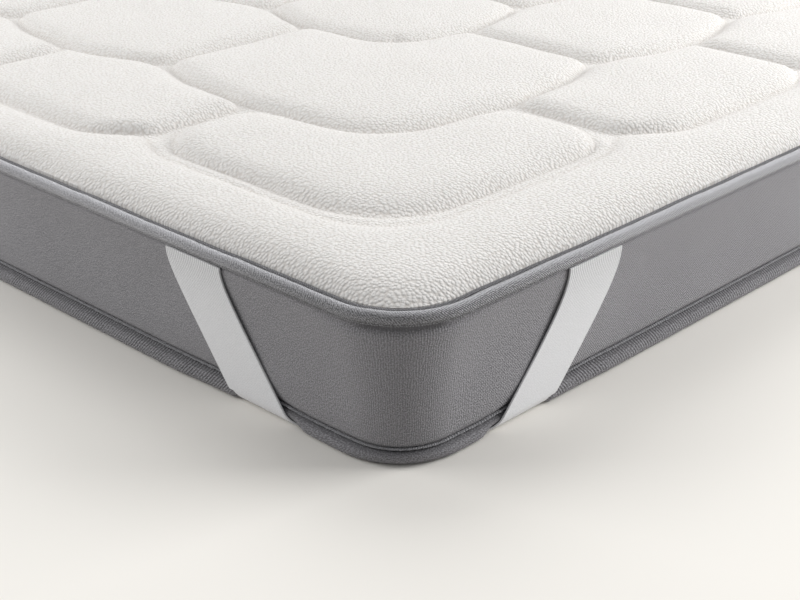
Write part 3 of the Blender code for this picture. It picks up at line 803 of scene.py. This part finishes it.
def side_border(strap, material):
    """The grey border: its profile carried round the plan line, a little uneven."""
    signs, normals, run = stations(*BORDER_STATIONS)
    from_corner = corner_distance(signs, normals)
    profile = refine(BORDER_EDGE, 3)
    inset, height, radius = per_station(profile, len(signs))
    share = (height - BORDER_BOTTOM) / (BORDER_TOP - BORDER_BOTTOM)
    swell = np.sin(math.pi * share) ** 2
    inset = inset + swell * sway(run, BORDER_WAVES, BORDER_SWAY)
    inset = inset - strap_swell(from_corner, normals, height, strap)
    inset = inset - lower_bulge(from_corner, normals, height)
    at_corner = 1 - ramp(from_corner, *TUCK_REACH)
    inset = inset + TUCK * (at_corner * ramp(height, *TUCK_LEVEL))
    lower = 1 - ramp(height, BORDER_BOTTOM, DROP_HEIGHT)
    height = height - seam_drop(from_corner) * lower
    corner = 1 - ramp(from_corner, *WALE_AND_SHADE_REACH)
    piece = add_swept("side_border", "border", (signs, normals, run), (inset, height, radius),
                      girth_of(profile), material, {"corner": np.tile(corner, len(profile))})
    return piece


def strap_along(drop, side):
    """Place along the side of a strap's middle, at a length below the binding.

    It is place - slope * (drop - lag * (1 - exp(-drop / lag))), which starts straight down.
    """
    place, slope, lag = side
    return place - slope * (drop - lag * (1 - np.exp(-drop / lag)))


def strap_inset(height, strap):
    """Inset of a strap's middle on the side, even from its top to the bottom edge."""
    fold_level = STRAP_FOLD_RADIUS + strap.thickness / 2
    share = (STRAP_TOP_LEVEL - height) / (STRAP_TOP_LEVEL - fold_level)
    return STRAP_TOP_INSET + (STRAP_FOLD_INSET - STRAP_TOP_INSET) * share


def strap_half(strap, side, steps=ROUTE_STEPS):
    """Rows of one half of a strap, from the binding to the corner's diagonal.

    Returns arrays of the middle line's inset, place along the side and height, the outward
    normal (inset, height), and the half row's vector (inset, along).  The half runs down
    the side, round the bottom edge on an arc, and under the corner on a cubic curve whose
    direction turns to 45 degrees.
    """
    side_steps, fold_steps, under_steps = steps
    fold_level = STRAP_FOLD_RADIUS + strap.thickness / 2
    fold_centre = STRAP_FOLD_INSET + STRAP_FOLD_RADIUS
    half = strap.level_width / 2
    drop = STRAP_TOP_LEVEL - fold_level
    lean = STRAP_FOLD_INSET - STRAP_TOP_INSET
    side_length = math.hypot(drop, lean)

    down = drop * (np.arange(side_steps) / side_steps) ** 1.3
    flat = np.zeros_like(down)
    rows = [np.stack([
        strap_inset(STRAP_TOP_LEVEL - down, strap), strap_along(down, side),
        STRAP_TOP_LEVEL - down, flat - drop / side_length, flat - lean / side_length,
        flat, flat + half], axis=1)]

    angle = math.pi / 2 * np.arange(fold_steps) / fold_steps
    flat = np.zeros_like(angle)
    rows.append(np.stack([
        fold_centre - STRAP_FOLD_RADIUS * np.cos(angle),
        strap_along(drop + STRAP_FOLD_RADIUS * angle, side),
        fold_level - STRAP_FOLD_RADIUS * np.sin(angle), -np.cos(angle), -np.sin(angle),
        flat, flat + half], axis=1))

    start = np.array([fold_centre, strap_along(drop + STRAP_FOLD_RADIUS * math.pi / 2, side)])
    end = np.array([STRAP_DIAGONAL, STRAP_DIAGONAL])
    leaving = np.array([1.0, -side[1]]) / math.hypot(1.0, side[1])
    arriving = np.array([1.0, -1.0]) / math.sqrt(2)
    reach = np.linalg.norm(end - start)
    share = (np.arange(under_steps + 1) / under_steps)[:, None]
    eased = smooth_step(share)
    middle = start + (end - start) * eased + reach * share * (1 - share) * (
        leaving * (1 - share) - arriving * share)
    turn = math.pi / 4 * eased
    half_row = half + (strap.width / 2 - half) * eased
    flat = np.zeros_like(share)
    rows.append(np.concatenate([
        middle, flat + strap.thickness / 2, flat, flat - 1.0,
        half_row * np.sin(turn), half_row * np.cos(turn)], axis=1))
    return np.concatenate(rows)


def under_strap_share(x, y, strap):
    """1 where a strap passes under the base, falling to 0 beside it.

    The distance is measured in plan to the strap's middle line, part by part, less the
    strap's half width there.
    """
    one = strap_half(strap, strap.on_long_side, ROUGH_STEPS)[1:, :2]
    other = strap_half(strap, strap.on_short_side, ROUGH_STEPS)[-2:0:-1, 1::-1]
    path = np.concatenate([one, other])
    steps = np.diff(path, axis=0)
    level = strap.level_width / 2 * np.min(np.abs(steps), axis=1) / np.linalg.norm(steps, axis=1)
    ends = smooth_step(np.abs(np.linspace(-1, 1, len(steps))) * 2 - 1)
    half = strap.width / 2 + (np.minimum(level, strap.width / 2) - strap.width / 2) * ends
    insets = np.stack([HALF_WIDTH - np.abs(x), HALF_LENGTH - np.abs(y)], axis=-1)
    beside = np.full(insets.shape[:-1], 1.0)
    for start, step, reach in zip(path[:-1], steps, half):
        away = insets - start
        part = np.clip(away @ step / (step @ step), 0, 1)
        distance = np.linalg.norm(away - part[..., None] * step, axis=-1)
        beside = np.minimum(beside, distance - reach)
    return smooth_step((CHANNEL_EDGE - beside) / CHANNEL_FADE)


def base_panel(strap, material):
    """The base: an underside and a gathered edge, pressed in where the straps pass.

    The profile starts under the middle and runs outwards, round the edge and up.  Under a
    strap a point of the edge is drawn in to the inside of the strap's bend.
    """
    signs, normals, run = stations(*BASE_STATIONS, CHANNEL_STEP, CHANNEL_REACH)
    under = np.stack([UNDER_INSETS, np.zeros_like(UNDER_INSETS),
                      np.maximum(UNDER_INSETS + 0.012, LOWER_CORNER_RADIUS)], axis=1)
    profile = np.concatenate([under, BASE_EDGE])
    inset, height, radius = per_station(profile, len(signs))
    on_edge = (inset < 0.0014) * np.sin(math.pi * np.clip(height / BASE_TOP, 0, 1))
    inset = inset + on_edge * sway(run, BASE_WAVES, BASE_SWAY)
    from_corner = corner_distance(signs, normals)
    height = height - seam_drop(from_corner) * height / BASE_TOP
    inset = inset - lower_bulge(from_corner, normals, height) * (inset < 0.01)
    points = swept_points(signs, normals, inset, height, radius)
    pressed = under_strap_share(points[..., 0], points[..., 1], strap)

    centre_inset = STRAP_FOLD_INSET + STRAP_FOLD_RADIUS
    centre_level = STRAP_FOLD_RADIUS + strap.thickness / 2
    inside = STRAP_FOLD_RADIUS - strap.thickness / 2 - 0.0003
    from_centre = np.hypot(inset - centre_inset, height - centre_level)
    shrink = np.where(height < centre_level, np.minimum(inside / from_centre, 1), 1)
    shrink = np.where(inset < centre_inset, shrink, 1)
    held_inset = centre_inset + (inset - centre_inset) * shrink
    held_height = centre_level + (height - centre_level) * shrink
    held_height = np.maximum(held_height, np.where(height < 0.0005, centre_level - inside, 0))
    inset = inset + (held_inset - inset) * pressed
    height = height + (held_height - height) * pressed

    girth = girth_of(profile)
    gathers = ramp(from_corner, *GATHERED_EDGE)
    piece = add_swept("base_panel", "base", (signs, normals, run), (inset, height, radius),
                      girth - girth[len(under)], material,
                      {"gathers": np.tile(gathers, len(profile))})
    return piece


def binding_section():
    """Section of the tape from under its roll over the top, then the low inner fold.

    Returns (inset, height) rows and the painted light and shade there: a painted highlight
    along the roll's upper edge, painted shade below the stitched lip, and dark painted shade
    in the valley.
    """
    degrees = np.linspace(272, -5, 42)
    angles = np.radians(degrees)
    reach = ROLL_RADIUS
    for rise, centre, width in ROLL_FORM:
        reach = reach + rise * hump(degrees, centre, width)
    roll = np.stack([ROLL_INSET + reach * np.cos(angles),
                     TAPE_BOTTOM + ROLL_RADIUS + reach * np.sin(angles)], axis=1)
    # Painted light on the roll: darker low down and in the notch, a highlight on its upper edge,
    # dark on its back.
    roll_highlight_and_shade = 0.42 + 0.12 * ramp(degrees, 180, 30) + 0.40 * hump(degrees, 217, 5)
    roll_highlight_and_shade = roll_highlight_and_shade - 0.56 * hump(degrees, 102, 26) + smooth_step((70 - degrees) / 10)
    turns = np.linspace(185, 10, 12)
    bends = np.radians(turns)
    fold = np.stack([FOLD_INSET + FOLD_HALF_WIDTH * np.cos(bends),
                     FOLD_LEVEL + FOLD_HALF_HEIGHT * np.sin(bends)], axis=1)
    # Painted shade on the inner fold, down in the valley.
    fold_painted_shade = 0.76 + 0.14 * ramp(turns, 40, 30)
    tail = np.array([(TAPE_INNER, FOLD_LEVEL - 0.001), (TAPE_INNER, TAPE_BOTTOM)])
    section = np.concatenate([roll, fold, tail])
    return section, np.concatenate([roll_highlight_and_shade, fold_painted_shade, [0.8, 0.8]])


def edge_binding(material):
    """The tape, carried round the plan line with a slow sway and finer unevenness."""
    signs, normals, run = stations(*TAPE_STATIONS)
    section, shade = binding_section()
    girth = girth_of(np.concatenate([section, section[:1]]))
    inset, height = per_station(section, len(signs))
    beyond = ramp(corner_distance(signs, normals), *TAPE_REACH)
    height = TAPE_BOTTOM + (height - TAPE_BOTTOM) * (1 - TAPE_SINK * beyond)
    height = height + FOLD_LIFT * (1 - beyond) * ramp(inset, *FOLD_START)
    rolled = np.clip((height - TAPE_BOTTOM) / 0.004, 0, 1)
    height = height + rolled * sway(run, TAPE_WAVES, TAPE_RISE)
    outer = np.clip((FOLD_INSET - inset) / 0.006, 0, 1) * rolled
    inset = inset + outer * sway(run, TAPE_WAVES, TAPE_SWAY)
    radius = np.full_like(inset, TOP_CORNER_RADIUS)
    # The section's painted shade, with more of it round the corners.
    shade = shade[:, None] + CORNER_PAINTED_SHADE * (1 - beyond)
    piece = add_swept("edge_binding", "top_binding", (signs, normals, run),
                      (inset, height, radius), girth, material,
                      {"shade": np.clip(shade, 0, 1)}, closed=True)
    return piece


def seam_lip(strap, material):
    """The lip of the lower seam: an oval carried round, thicker and thinner by turns."""
    signs, normals, run = stations(*LIP_STATIONS)
    angles = np.linspace(0, 2 * math.pi, 11)[:-1]
    stitches = np.round(run[-1] / LIP_STITCH)
    swell = 1 + LIP_STITCH_SHARE * np.sin(2 * math.pi * stitches * run[:-1] / run[-1])
    swell = swell + LIP_SWELL * wander(run, *LIP_SWELL_WAVE)
    drift = LIP_SWAY * wander(run, *LIP_SWAY_WAVE)
    from_corner = corner_distance(signs, normals)
    level = np.full_like(from_corner, LIP_LEVEL)
    drift = drift - strap_swell(from_corner, normals, level, strap)
    drift = drift - lower_bulge(from_corner, normals, level)
    level = level - seam_drop(from_corner)
    inset = LIP_INSET + LIP_HALF_DEPTH * np.cos(angles)[:, None] * swell + drift
    height = level + LIP_HALF_HEIGHT * np.sin(angles)[:, None] * swell
    radius = np.full_like(inset, LOWER_CORNER_RADIUS)
    girth = np.linspace(0, 0.0052, 11)
    piece = add_swept("lower_seam_lip", "seam_lip", (signs, normals, run),
                      (inset, height, radius), girth, material, closed=True)
    return piece


# ---------------------------------------------------------------- straps


def corner_strap(name, quarter, strap, material):
    """One elastic band: a thin section carried along its route round a corner.

    The section's outer side has lengthwise ribs as a rectified sine, which are deepest
    near the binding, and its inner side is plain.
    """
    first = strap_half(strap, strap.on_long_side)
    route = np.concatenate([first, strap_half(strap, strap.on_short_side)[-2::-1]])
    is_mirrored = (np.arange(len(route)) >= len(first))[:, None]
    across = np.linspace(-1, 1, strap.ribs * 4 + 1)
    inner = np.linspace(1, -1, 9)
    section_across = np.concatenate([across, inner])
    thick = strap.thickness / 2
    edge_round = np.clip((1 - np.abs(across)) / 0.03, 0, 1) ** 0.5
    groove = 1 - np.abs(np.sin(math.pi * strap.ribs * (across + 1) / 2))
    steps = np.linalg.norm(np.diff(route[:, :3], axis=0), axis=1)
    length = np.concatenate([[0.0], np.cumsum(steps)])
    gathered = np.exp(-np.minimum(length, length[-1] - length) / GATHER_REACH)
    depth = strap.rib_depth * (0.4 + 1.6 * gathered)
    outer_offset = thick * (0.55 + 0.45 * edge_round)[None, :] - depth[:, None] * groove[None, :]
    inner_offset = np.full((len(route), len(inner)), -thick)
    inner_offset[:, [0, -1]] = -thick * 0.55
    offset = np.concatenate([outer_offset, inner_offset], axis=1)

    inset, along, height, out, up, reach_in, reach_along = (
        column[:, None] for column in route.T)
    inset = inset + section_across * reach_in + offset * out
    along = along + section_across * reach_along
    height = height + offset * up
    inset_x = np.where(is_mirrored, along, inset)
    inset_y = np.where(is_mirrored, inset, along)
    sign_x, sign_y = CORNERS[quarter]
    points = np.stack([sign_x * (HALF_WIDTH - inset_x), sign_y * (HALF_LENGTH - inset_y), height],
                      axis=-1).reshape(-1, 3)
    columns = len(section_across)
    faces, rows, places = grid_faces(len(route), columns)
    width = np.concatenate([section_across, [-1.0]]) * strap.width / 2
    uvs = np.stack([width[places], length[rows]], axis=-1)
    piece = add_piece("corner_" + name, name, points, faces, uvs,
                      end_caps(len(route), columns), material,
                      {"gathered": np.repeat(gathered, columns)})
    return piece


# ---------------------------------------------------------------- materials


class Finish:
    """A Principled material and a short way to lay out its pattern."""

    def __init__(self, name, colour, roughness, sheen=0.0):
        self.material = bpy.data.materials.new(name)
        self.material.use_nodes = True
        self.tree = self.material.node_tree
        self.shader = self.tree.nodes["Principled BSDF"]
        self.colour = (*colour, 1.0)
        self.material.diffuse_color = self.colour
        self.shader.inputs["Base Color"].default_value = self.colour
        self.shader.inputs["Roughness"].default_value = roughness
        self.shader.inputs["Specular IOR Level"].default_value = 0.25
        self.shader.inputs["Sheen Weight"].default_value = sheen
        self.shader.inputs["Sheen Roughness"].default_value = 0.45

    def put(self, socket, value):
        """Link a socket, or set a plain value."""
        if isinstance(value, bpy.types.NodeSocket):
            self.tree.links.new(value, socket)
        else:
            socket.default_value = value

    def node(self, kind, settings=None, **inputs):
        """A new node with its settings and inputs."""
        node = self.tree.nodes.new(kind)
        for key, value in (settings or {}).items():
            setattr(node, key, value)
        for key, value in inputs.items():
            self.put(node.inputs[key.replace("_", " ")], value)
        return node

    def math(self, operation, first, second=0.0, third=0.0):
        """Result of one arithmetic step."""
        node = self.tree.nodes.new("ShaderNodeMath")
        node.operation = operation
        for socket, value in zip(node.inputs, (first, second, third)):
            self.put(socket, value)
        return node.outputs[0]

    def scaled(self, value, factor, offset=None):
        """The value times a factor, plus the offset if there is one."""
        if offset is None:
            return self.math("MULTIPLY", value, factor)
        return self.math("MULTIPLY_ADD", value, factor, offset)

    def wave(self, turns):
        """Sine of a number of whole turns."""
        return self.math("SINE", self.scaled(turns, 2 * math.pi))

    def attribute(self, name):
        """A value that the mesh carries at its points."""
        return self.node("ShaderNodeAttribute", {"attribute_name": name}).outputs["Fac"]

    def object_place(self):
        """x, y and z in the object's own space, and the whole vector."""
        vector = self.node("ShaderNodeTexCoord").outputs["Object"]
        parts = self.node("ShaderNodeSeparateXYZ", Vector=vector)
        return parts.outputs[0], parts.outputs[1], parts.outputs[2], vector

    def sheet_place(self):
        """u and v in metres, and the whole vector."""
        vector = self.node("ShaderNodeUVMap", {"uv_map": "UVMap"}).outputs[0]
        parts = self.node("ShaderNodeSeparateXYZ", Vector=vector)
        return parts.outputs[0], parts.outputs[1], vector

    def vector(self, x, y, z=0.0):
        """A vector from its parts."""
        return self.node("ShaderNodeCombineXYZ", X=x, Y=y, Z=z).outputs[0]

    def noise(self, vector, scale, detail=2.0, roughness=0.5):
        """Noise from 0 to 1."""
        return self.node("ShaderNodeTexNoise", Vector=vector, Scale=scale, Detail=detail,
                         Roughness=roughness).outputs[0]

    def smooth(self, value, low, high):
        """0 below low and 1 above high, smooth between."""
        node = self.node("ShaderNodeMapRange", {"interpolation_type": "SMOOTHSTEP"})
        self.put(node.inputs["Value"], value)
        node.inputs["From Min"].default_value = low
        node.inputs["From Max"].default_value = high
        return node.outputs[0]

    def tint(self, factor, dark):
        """Base colour between the finish's own, at 0 and below, and a share of it, at 1.

        The share is one number, or one for each of red, green and blue.
        """
        low = (*(np.array(self.colour[:3]) * dark), 1.0)
        node = self.node("ShaderNodeMix", {"data_type": "RGBA"})
        self.put(node.inputs["Factor"], self.math("MAXIMUM", factor, 0.0))
        for socket in node.inputs:
            if socket.type == "RGBA":
                socket.default_value = self.colour if socket.name == "A" else low
        colour = next(socket for socket in node.outputs if socket.type == "RGBA")
        self.tree.links.new(colour, self.shader.inputs["Base Color"])

    def relief(self, height, depth):
        """Bump from a height of 0 to 1, this deep."""
        node = self.node("ShaderNodeBump", Height=height, Strength=1.0, Distance=depth)
        self.tree.links.new(node.outputs[0], self.shader.inputs["Normal"])

    def cloth(self, shade, dark, height, depth):
        """The finished material: its tint, and its relief."""
        self.tint(shade, dark)
        self.relief(height, depth)
        return self.material


def white_knit(quilt):
    """Fleecy knit: soft loops in rows along X, shallow pits in warm painted shade, fine fibres."""
    finish = Finish("white_knit_cloth", quilt.colour, 0.95, sheen=0.15)
    x, y, _, place = finish.object_place()
    drift = finish.math("SUBTRACT", finish.noise(place, 90.0, 1.0), 0.5)
    drift = finish.scaled(drift, 0.5)
    u = finish.scaled(x, 1 / quilt.knit_pitch, drift)
    v = finish.scaled(y, 1 / quilt.knit_pitch, drift)
    loops = finish.node("ShaderNodeTexVoronoi", {"voronoi_dimensions": "2D", "feature": "F1"},
                        Vector=finish.vector(u, v), Scale=1.0, Randomness=0.85)
    loop = finish.smooth(loops.outputs["Distance"], 0.75, 0.10)
    fibres = finish.noise(place, 1900.0, 2.0, 0.7)
    tufts = finish.noise(place, 660.0, 2.0, 0.6)
    height = finish.scaled(fibres, 0.50, finish.scaled(loop, 0.80))
    height = finish.scaled(tufts, 0.45, height)
    crease_shade = finish.attribute("crease_shade")
    # Painted shade: the pits between the loops and tufts are darker and warmer.
    pit_shade = finish.scaled(finish.math("SUBTRACT", 0.85, loop), 0.46)
    pit_shade = finish.scaled(finish.math("SUBTRACT", 0.55, tufts), 0.8, pit_shade)
    # Painted shade beside the seams' creases.
    shade = finish.scaled(crease_shade, 0.22, pit_shade)
    shade = finish.scaled(finish.noise(place, 14.0, 2.0), 0.12, shade)
    return finish.cloth(shade, (0.74, 0.70, 0.66), height, 0.00053)


def flecked(finish, place, size, contrast):
    """Shade round 0.5 from light and dark flecks of about this size."""
    noise = finish.noise(place, 1 / size, 1.0, 0.5)
    spread = finish.smooth(noise, 0.34, 0.66)
    return finish.scaled(finish.math("SUBTRACT", 0.5, spread), contrast, 0.5)


def grey_knit(edge):
    """Fine slanted knit with light flecks, and round the corners upright wales and painted shade.
    """
    finish = Finish("grey_knit_cloth", edge.border_colour, 0.9, sheen=0.10)
    u, v, place = finish.sheet_place()
    pitch = edge.knit_pitch
    drift = finish.scaled(finish.noise(place, 160.0, 1.0), 1.4)
    slant = finish.scaled(finish.math("ADD", u, v), 1 / pitch, drift)
    twill = finish.wave(slant)
    upright = finish.scaled(u, 1 / (pitch * 1.1), drift)
    wales = finish.wave(upright)
    corner = finish.attribute("corner")
    lines = finish.node("ShaderNodeMix", {"data_type": "FLOAT"})
    for socket, value in ((0, corner), (2, twill), (3, wales)):
        finish.put(lines.inputs[socket], value)
    line = lines.outputs[0]
    shade = flecked(finish, place, pitch * 0.45, 1.35)
    shade = finish.scaled(line, 0.34, shade)
    shade = finish.scaled(finish.noise(place, 18.0, 2.0), 0.30,
                          finish.math("SUBTRACT", shade, 0.20))
    # Painted shade: round a corner the border is darker.
    shade = finish.scaled(corner, 0.12, shade)
    # Painted shadow: a dark line just under the binding round a corner.
    z = finish.object_place()[2]
    crease_shade = finish.scaled(finish.smooth(corner, 0.94, 0.985),
                           finish.smooth(z, 0.0626, 0.0638))
    shade = finish.scaled(crease_shade, 0.9, shade)
    height = finish.scaled(shade, -0.6, finish.scaled(line, -0.2))
    return finish.cloth(shade, 0.50, height, 0.00022)


def gathered_cloth(edge, length):
    """Base cloth: fine knit, gathered beyond the straps in a whole number of folds.

    The folds stand upright on the upper half of the edge and lean on the lower half.
    Their grooves get painted shade, and a painted shadow lies just below the seam lip.
    """
    finish = Finish("grey_base_cloth", edge.base_colour, 0.92, sheen=0.08)
    u, v, place = finish.sheet_place()
    pitch = length / round(length / edge.gather_pitch)
    drift = finish.scaled(finish.noise(place, 70.0, 1.0), 0.9)
    lean = finish.scaled(finish.math("MAXIMUM", finish.math("SUBTRACT", 0.0075, v), 0.0),
                         0.22 / pitch)
    turns = finish.math("ADD", finish.scaled(u, 1 / pitch, drift), lean)
    folds = finish.wave(turns)
    uneven = finish.smooth(finish.noise(finish.vector(u, 0.0), 60.0, 1.0), 0.30, 0.60)
    gathers = finish.attribute("gathers")
    strength = finish.scaled(gathers, finish.smooth(v, -0.003, 0.001))
    strength = finish.scaled(strength, finish.scaled(uneven, 0.6, 0.4))
    upper = finish.scaled(finish.smooth(v, 0.004, 0.010), 0.55, 0.45)
    folds = finish.scaled(finish.scaled(folds, strength), upper)
    shade = flecked(finish, place, BASE_FLECK, 0.9)
    height = finish.scaled(folds, 0.5, finish.scaled(shade, -0.30))
    # Painted shade: the folds' grooves are darker, and so is the top of the edge just below the
    # seam lip.
    shade = finish.scaled(folds, -0.46, shade)
    shade = finish.scaled(finish.smooth(v, 0.0100, 0.0118), 0.45, shade)
    return finish.cloth(shade, 0.42, height, 0.00052)


def ribbed_tape(edge, length):
    """Binding tape: fine slanted ribs, on the painted light and shade that the section carries."""
    finish = Finish("grey_tape_cloth", edge.binding_colour, 0.85, sheen=0.12)
    u, v, place = finish.sheet_place()
    pitch = length / round(length / edge.rib_pitch)
    drift = finish.scaled(finish.noise(place, 260.0, 1.0), 1.0)
    turns = finish.scaled(u, 1 / pitch, drift)
    turns = finish.scaled(v, 1.0 / pitch, turns)
    ribs = finish.wave(turns)
    threads = finish.math("SUBTRACT", flecked(finish, place, THREAD, 0.55), 0.5)
    shade = finish.attribute("shade")
    shade = finish.math("ADD", shade, threads)
    shade = finish.scaled(ribs, -0.18, shade)
    height = finish.scaled(ribs, 0.40, finish.scaled(threads, -0.7))
    return finish.cloth(shade, 0.20, height, 0.00045)


def lip_cloth(edge, length):
    """Seam lip: fine cross ribs like a corded edge."""
    colour = [part * 0.52 for part in edge.binding_colour]
    finish = Finish("grey_piping_cloth", colour, 0.85, sheen=0.1)
    u, v, place = finish.sheet_place()
    pitch = length / round(length / LIP_RIB)
    turns = finish.scaled(u, 1 / pitch, finish.scaled(v, 300.0))
    ribs = finish.wave(turns)
    threads = flecked(finish, place, THREAD, 0.8)
    height = finish.scaled(ribs, 0.3, finish.scaled(threads, -0.4))
    return finish.cloth(finish.scaled(ribs, -0.15, threads), 0.45, height, 0.0003)


def elastic_cloth(strap):
    """Elastic: fine cross threads; lengthwise grooves in painted shade, darkest where gathered."""
    finish = Finish("white_elastic_cloth", strap.colour, 0.75, sheen=0.1)
    u, v, place = finish.sheet_place()
    turns = finish.scaled(u, math.pi * strap.ribs / strap.width)
    turns = finish.math("ADD", turns, math.pi * strap.ribs / 2)
    ridge = finish.math("ABSOLUTE", finish.math("SINE", turns))
    groove = finish.smooth(ridge, 0.75, 0.0)
    cross = finish.math("SINE", finish.scaled(v, 2 * math.pi / CROSS_THREAD))
    cross = finish.scaled(cross, 0.5, 0.5)
    gathered = finish.attribute("gathered")
    threads = flecked(finish, place, THREAD, 0.7)
    # Painted shade in the grooves, deepest where the elastic is gathered.
    shade = finish.scaled(finish.scaled(gathered, 1.0, 0.12), groove)
    shade = finish.scaled(finish.math("SUBTRACT", threads, 0.2), 0.35, shade)
    shade = finish.scaled(cross, 0.16, shade)
    height = finish.scaled(shade, -0.8)
    return finish.cloth(shade, 0.62, height, 0.00012)


# ---------------------------------------------------------------- operators


def plan_length():
    """Length of the plan line: four straight sides and a full turn of the corner radius."""
    straight = 4 * (HALF_WIDTH + HALF_LENGTH - 2 * TOP_CORNER_RADIUS)
    return straight + 2 * math.pi * TOP_CORNER_RADIUS


class TOPPER_OT_quilted_cover(bpy.types.Operator):
    """Make the white quilted cover"""

    bl_idname = "topper.quilted_cover"
    bl_label = "Quilted cover"

    def execute(self, context):
        quilt = context.scene.topper_quilt
        quilted_cover(quilt, white_knit(quilt))
        return {"FINISHED"}


class TOPPER_OT_side_border(bpy.types.Operator):
    """Make the grey side border"""

    bl_idname = "topper.side_border"
    bl_label = "Side border"

    def execute(self, context):
        edge, strap = context.scene.topper_edge, context.scene.topper_strap
        side_border(strap, grey_knit(edge))
        return {"FINISHED"}


class TOPPER_OT_base_panel(bpy.types.Operator):
    """Make the base with its gathered edge"""

    bl_idname = "topper.base_panel"
    bl_label = "Base"

    def execute(self, context):
        edge, strap = context.scene.topper_edge, context.scene.topper_strap
        base_panel(strap, gathered_cloth(edge, plan_length()))
        return {"FINISHED"}


class TOPPER_OT_edge_binding(bpy.types.Operator):
    """Make the binding of the upper edge and the lip of the lower seam"""

    bl_idname = "topper.edge_binding"
    bl_label = "Binding and seam lip"

    def execute(self, context):
        edge, strap = context.scene.topper_edge, context.scene.topper_strap
        edge_binding(ribbed_tape(edge, plan_length()))
        seam_lip(strap, lip_cloth(edge, plan_length()))
        return {"FINISHED"}


class TOPPER_OT_corner_straps(bpy.types.Operator):
    """Make the four elastic corner straps"""

    bl_idname = "topper.corner_straps"
    bl_label = "Corner straps"

    def execute(self, context):
        strap = context.scene.topper_strap
        material = elastic_cloth(strap)
        for name, quarter in STRAP_CORNERS.items():
            corner_strap(name, quarter, strap, material)
        return {"FINISHED"}


def add_softbox(name, place, target, size, watts):
    """A rectangular area light that faces a target."""
    light = bpy.data.lights.new(name, "AREA")
    light.shape = "RECTANGLE"
    light.size, light.size_y = size
    light.energy = watts
    lamp = bpy.data.objects.new(name, light)
    lamp.location = place
    lamp.rotation_euler = (target - place).to_track_quat("-Z", "Y").to_euler()
    bpy.context.scene.collection.objects.link(lamp)


class TOPPER_OT_stage(bpy.types.Operator):
    """Make the floor, the lights and the camera"""

    bl_idname = "topper.stage"
    bl_label = "Stage"

    def execute(self, context):
        stage = context.scene.topper_stage
        corner = Vector((-HALF_WIDTH, -HALF_LENGTH, 0.0))

        mesh = bpy.data.meshes.new("floor")
        reach = 9.0
        mesh.from_pydata([(-reach, -reach, 0), (reach, -reach, 0), (reach, reach, 0),
                          (-reach, reach, 0)], [], [(0, 1, 2, 3)])
        floor = bpy.data.objects.new("floor", mesh)
        context.scene.collection.objects.link(floor)
        finish = Finish("floor_paint", stage.floor_colour, 0.7)
        finish.tint(finish.noise(finish.object_place()[3], 3.0, 3.0, 0.6), 0.96)
        mesh.materials.append(finish.material)

        for name, place, target, size, watts in (
            ("top_softbox", (1.875, 2.375, 2.375), (0.2, 0.2, 0), (2.75, 2.75), stage.top_light),
            ("right_softbox", (1.2, -0.6, 0.6), (0.1, 0, 0), (0.8, 0.7), stage.right_light),
            ("left_softbox", (-0.65, 1.15, 0.6), (0, 0.1, 0), (0.8, 0.7), stage.left_light),
        ):
            add_softbox(name, corner + Vector(place), corner + Vector(target), size, watts)

        world = bpy.data.worlds.new("soft_room")
        world.use_nodes = True
        background = world.node_tree.nodes["Background"]
        background.inputs["Color"].default_value = (0.98, 0.99, 1.0, 1.0)
        background.inputs["Strength"].default_value = stage.ambient
        context.scene.world = world

        lens = bpy.data.cameras.new("camera")
        lens.lens = stage.lens
        lens.sensor_width = 36.0
        lens.clip_start, lens.clip_end = 0.01, 100.0
        camera = bpy.data.objects.new("camera", lens)
        camera.location = corner + Vector(stage.camera_place) * HEIGHT
        forward = Vector((math.sin(stage.heading) * math.cos(stage.pitch),
                          math.cos(stage.heading) * math.cos(stage.pitch),
                          -math.sin(stage.pitch)))
        camera.rotation_euler = forward.to_track_quat("-Z", "Y").to_euler()
        context.scene.collection.objects.link(camera)
        context.scene.camera = camera

        context.scene.view_settings.view_transform = "Standard"
        context.scene.view_settings.look = "None"
        context.scene.view_settings.exposure = 0.0
        context.scene.view_settings.gamma = 1.0
        return {"FINISHED"}


class TOPPER_PT_panel(bpy.types.Panel):
    """Lists the pieces of the topper and their settings"""

    bl_label = "Mattress topper"
    bl_idname = "TOPPER_PT_panel"
    bl_space_type = "VIEW_3D"
    bl_region_type = "UI"
    bl_category = "Topper"

    def draw(self, context):
        scene = context.scene
        for operator in OPERATORS:
            self.layout.operator(operator.bl_idname)
        for settings in (scene.topper_quilt, scene.topper_edge, scene.topper_strap,
                         scene.topper_stage):
            box = self.layout.box()
            for key in settings.__annotations__:
                box.prop(settings, key)


SETTINGS = {
    "topper_quilt": TopperQuiltSettings,
    "topper_edge": TopperEdgeSettings,
    "topper_strap": TopperStrapSettings,
    "topper_stage": TopperStageSettings,
}
OPERATORS = (
    TOPPER_OT_quilted_cover,
    TOPPER_OT_side_border,
    TOPPER_OT_base_panel,
    TOPPER_OT_edge_binding,
    TOPPER_OT_corner_straps,
    TOPPER_OT_stage,
)


def register():
    """Register the classes and hang the settings on the scene."""
    for name, group in SETTINGS.items():
        bpy.utils.register_class(group)
        setattr(bpy.types.Scene, name, bpy.props.PointerProperty(type=group))
    for kind in (*OPERATORS, TOPPER_PT_panel):
        bpy.utils.register_class(kind)


def unregister():
    """Take back everything that register added."""
    for kind in (TOPPER_PT_panel, *reversed(OPERATORS)):
        bpy.utils.unregister_class(kind)
    for name, group in SETTINGS.items():
        delattr(bpy.types.Scene, name)
        bpy.utils.unregister_class(group)


def main():
    """Make every piece and the stage."""
    register()
    bpy.ops.topper.quilted_cover()
    bpy.ops.topper.side_border()
    bpy.ops.topper.base_panel()
    bpy.ops.topper.edge_binding()
    bpy.ops.topper.corner_straps()
    bpy.ops.topper.stage()


if __name__ == "__main__":
    main()
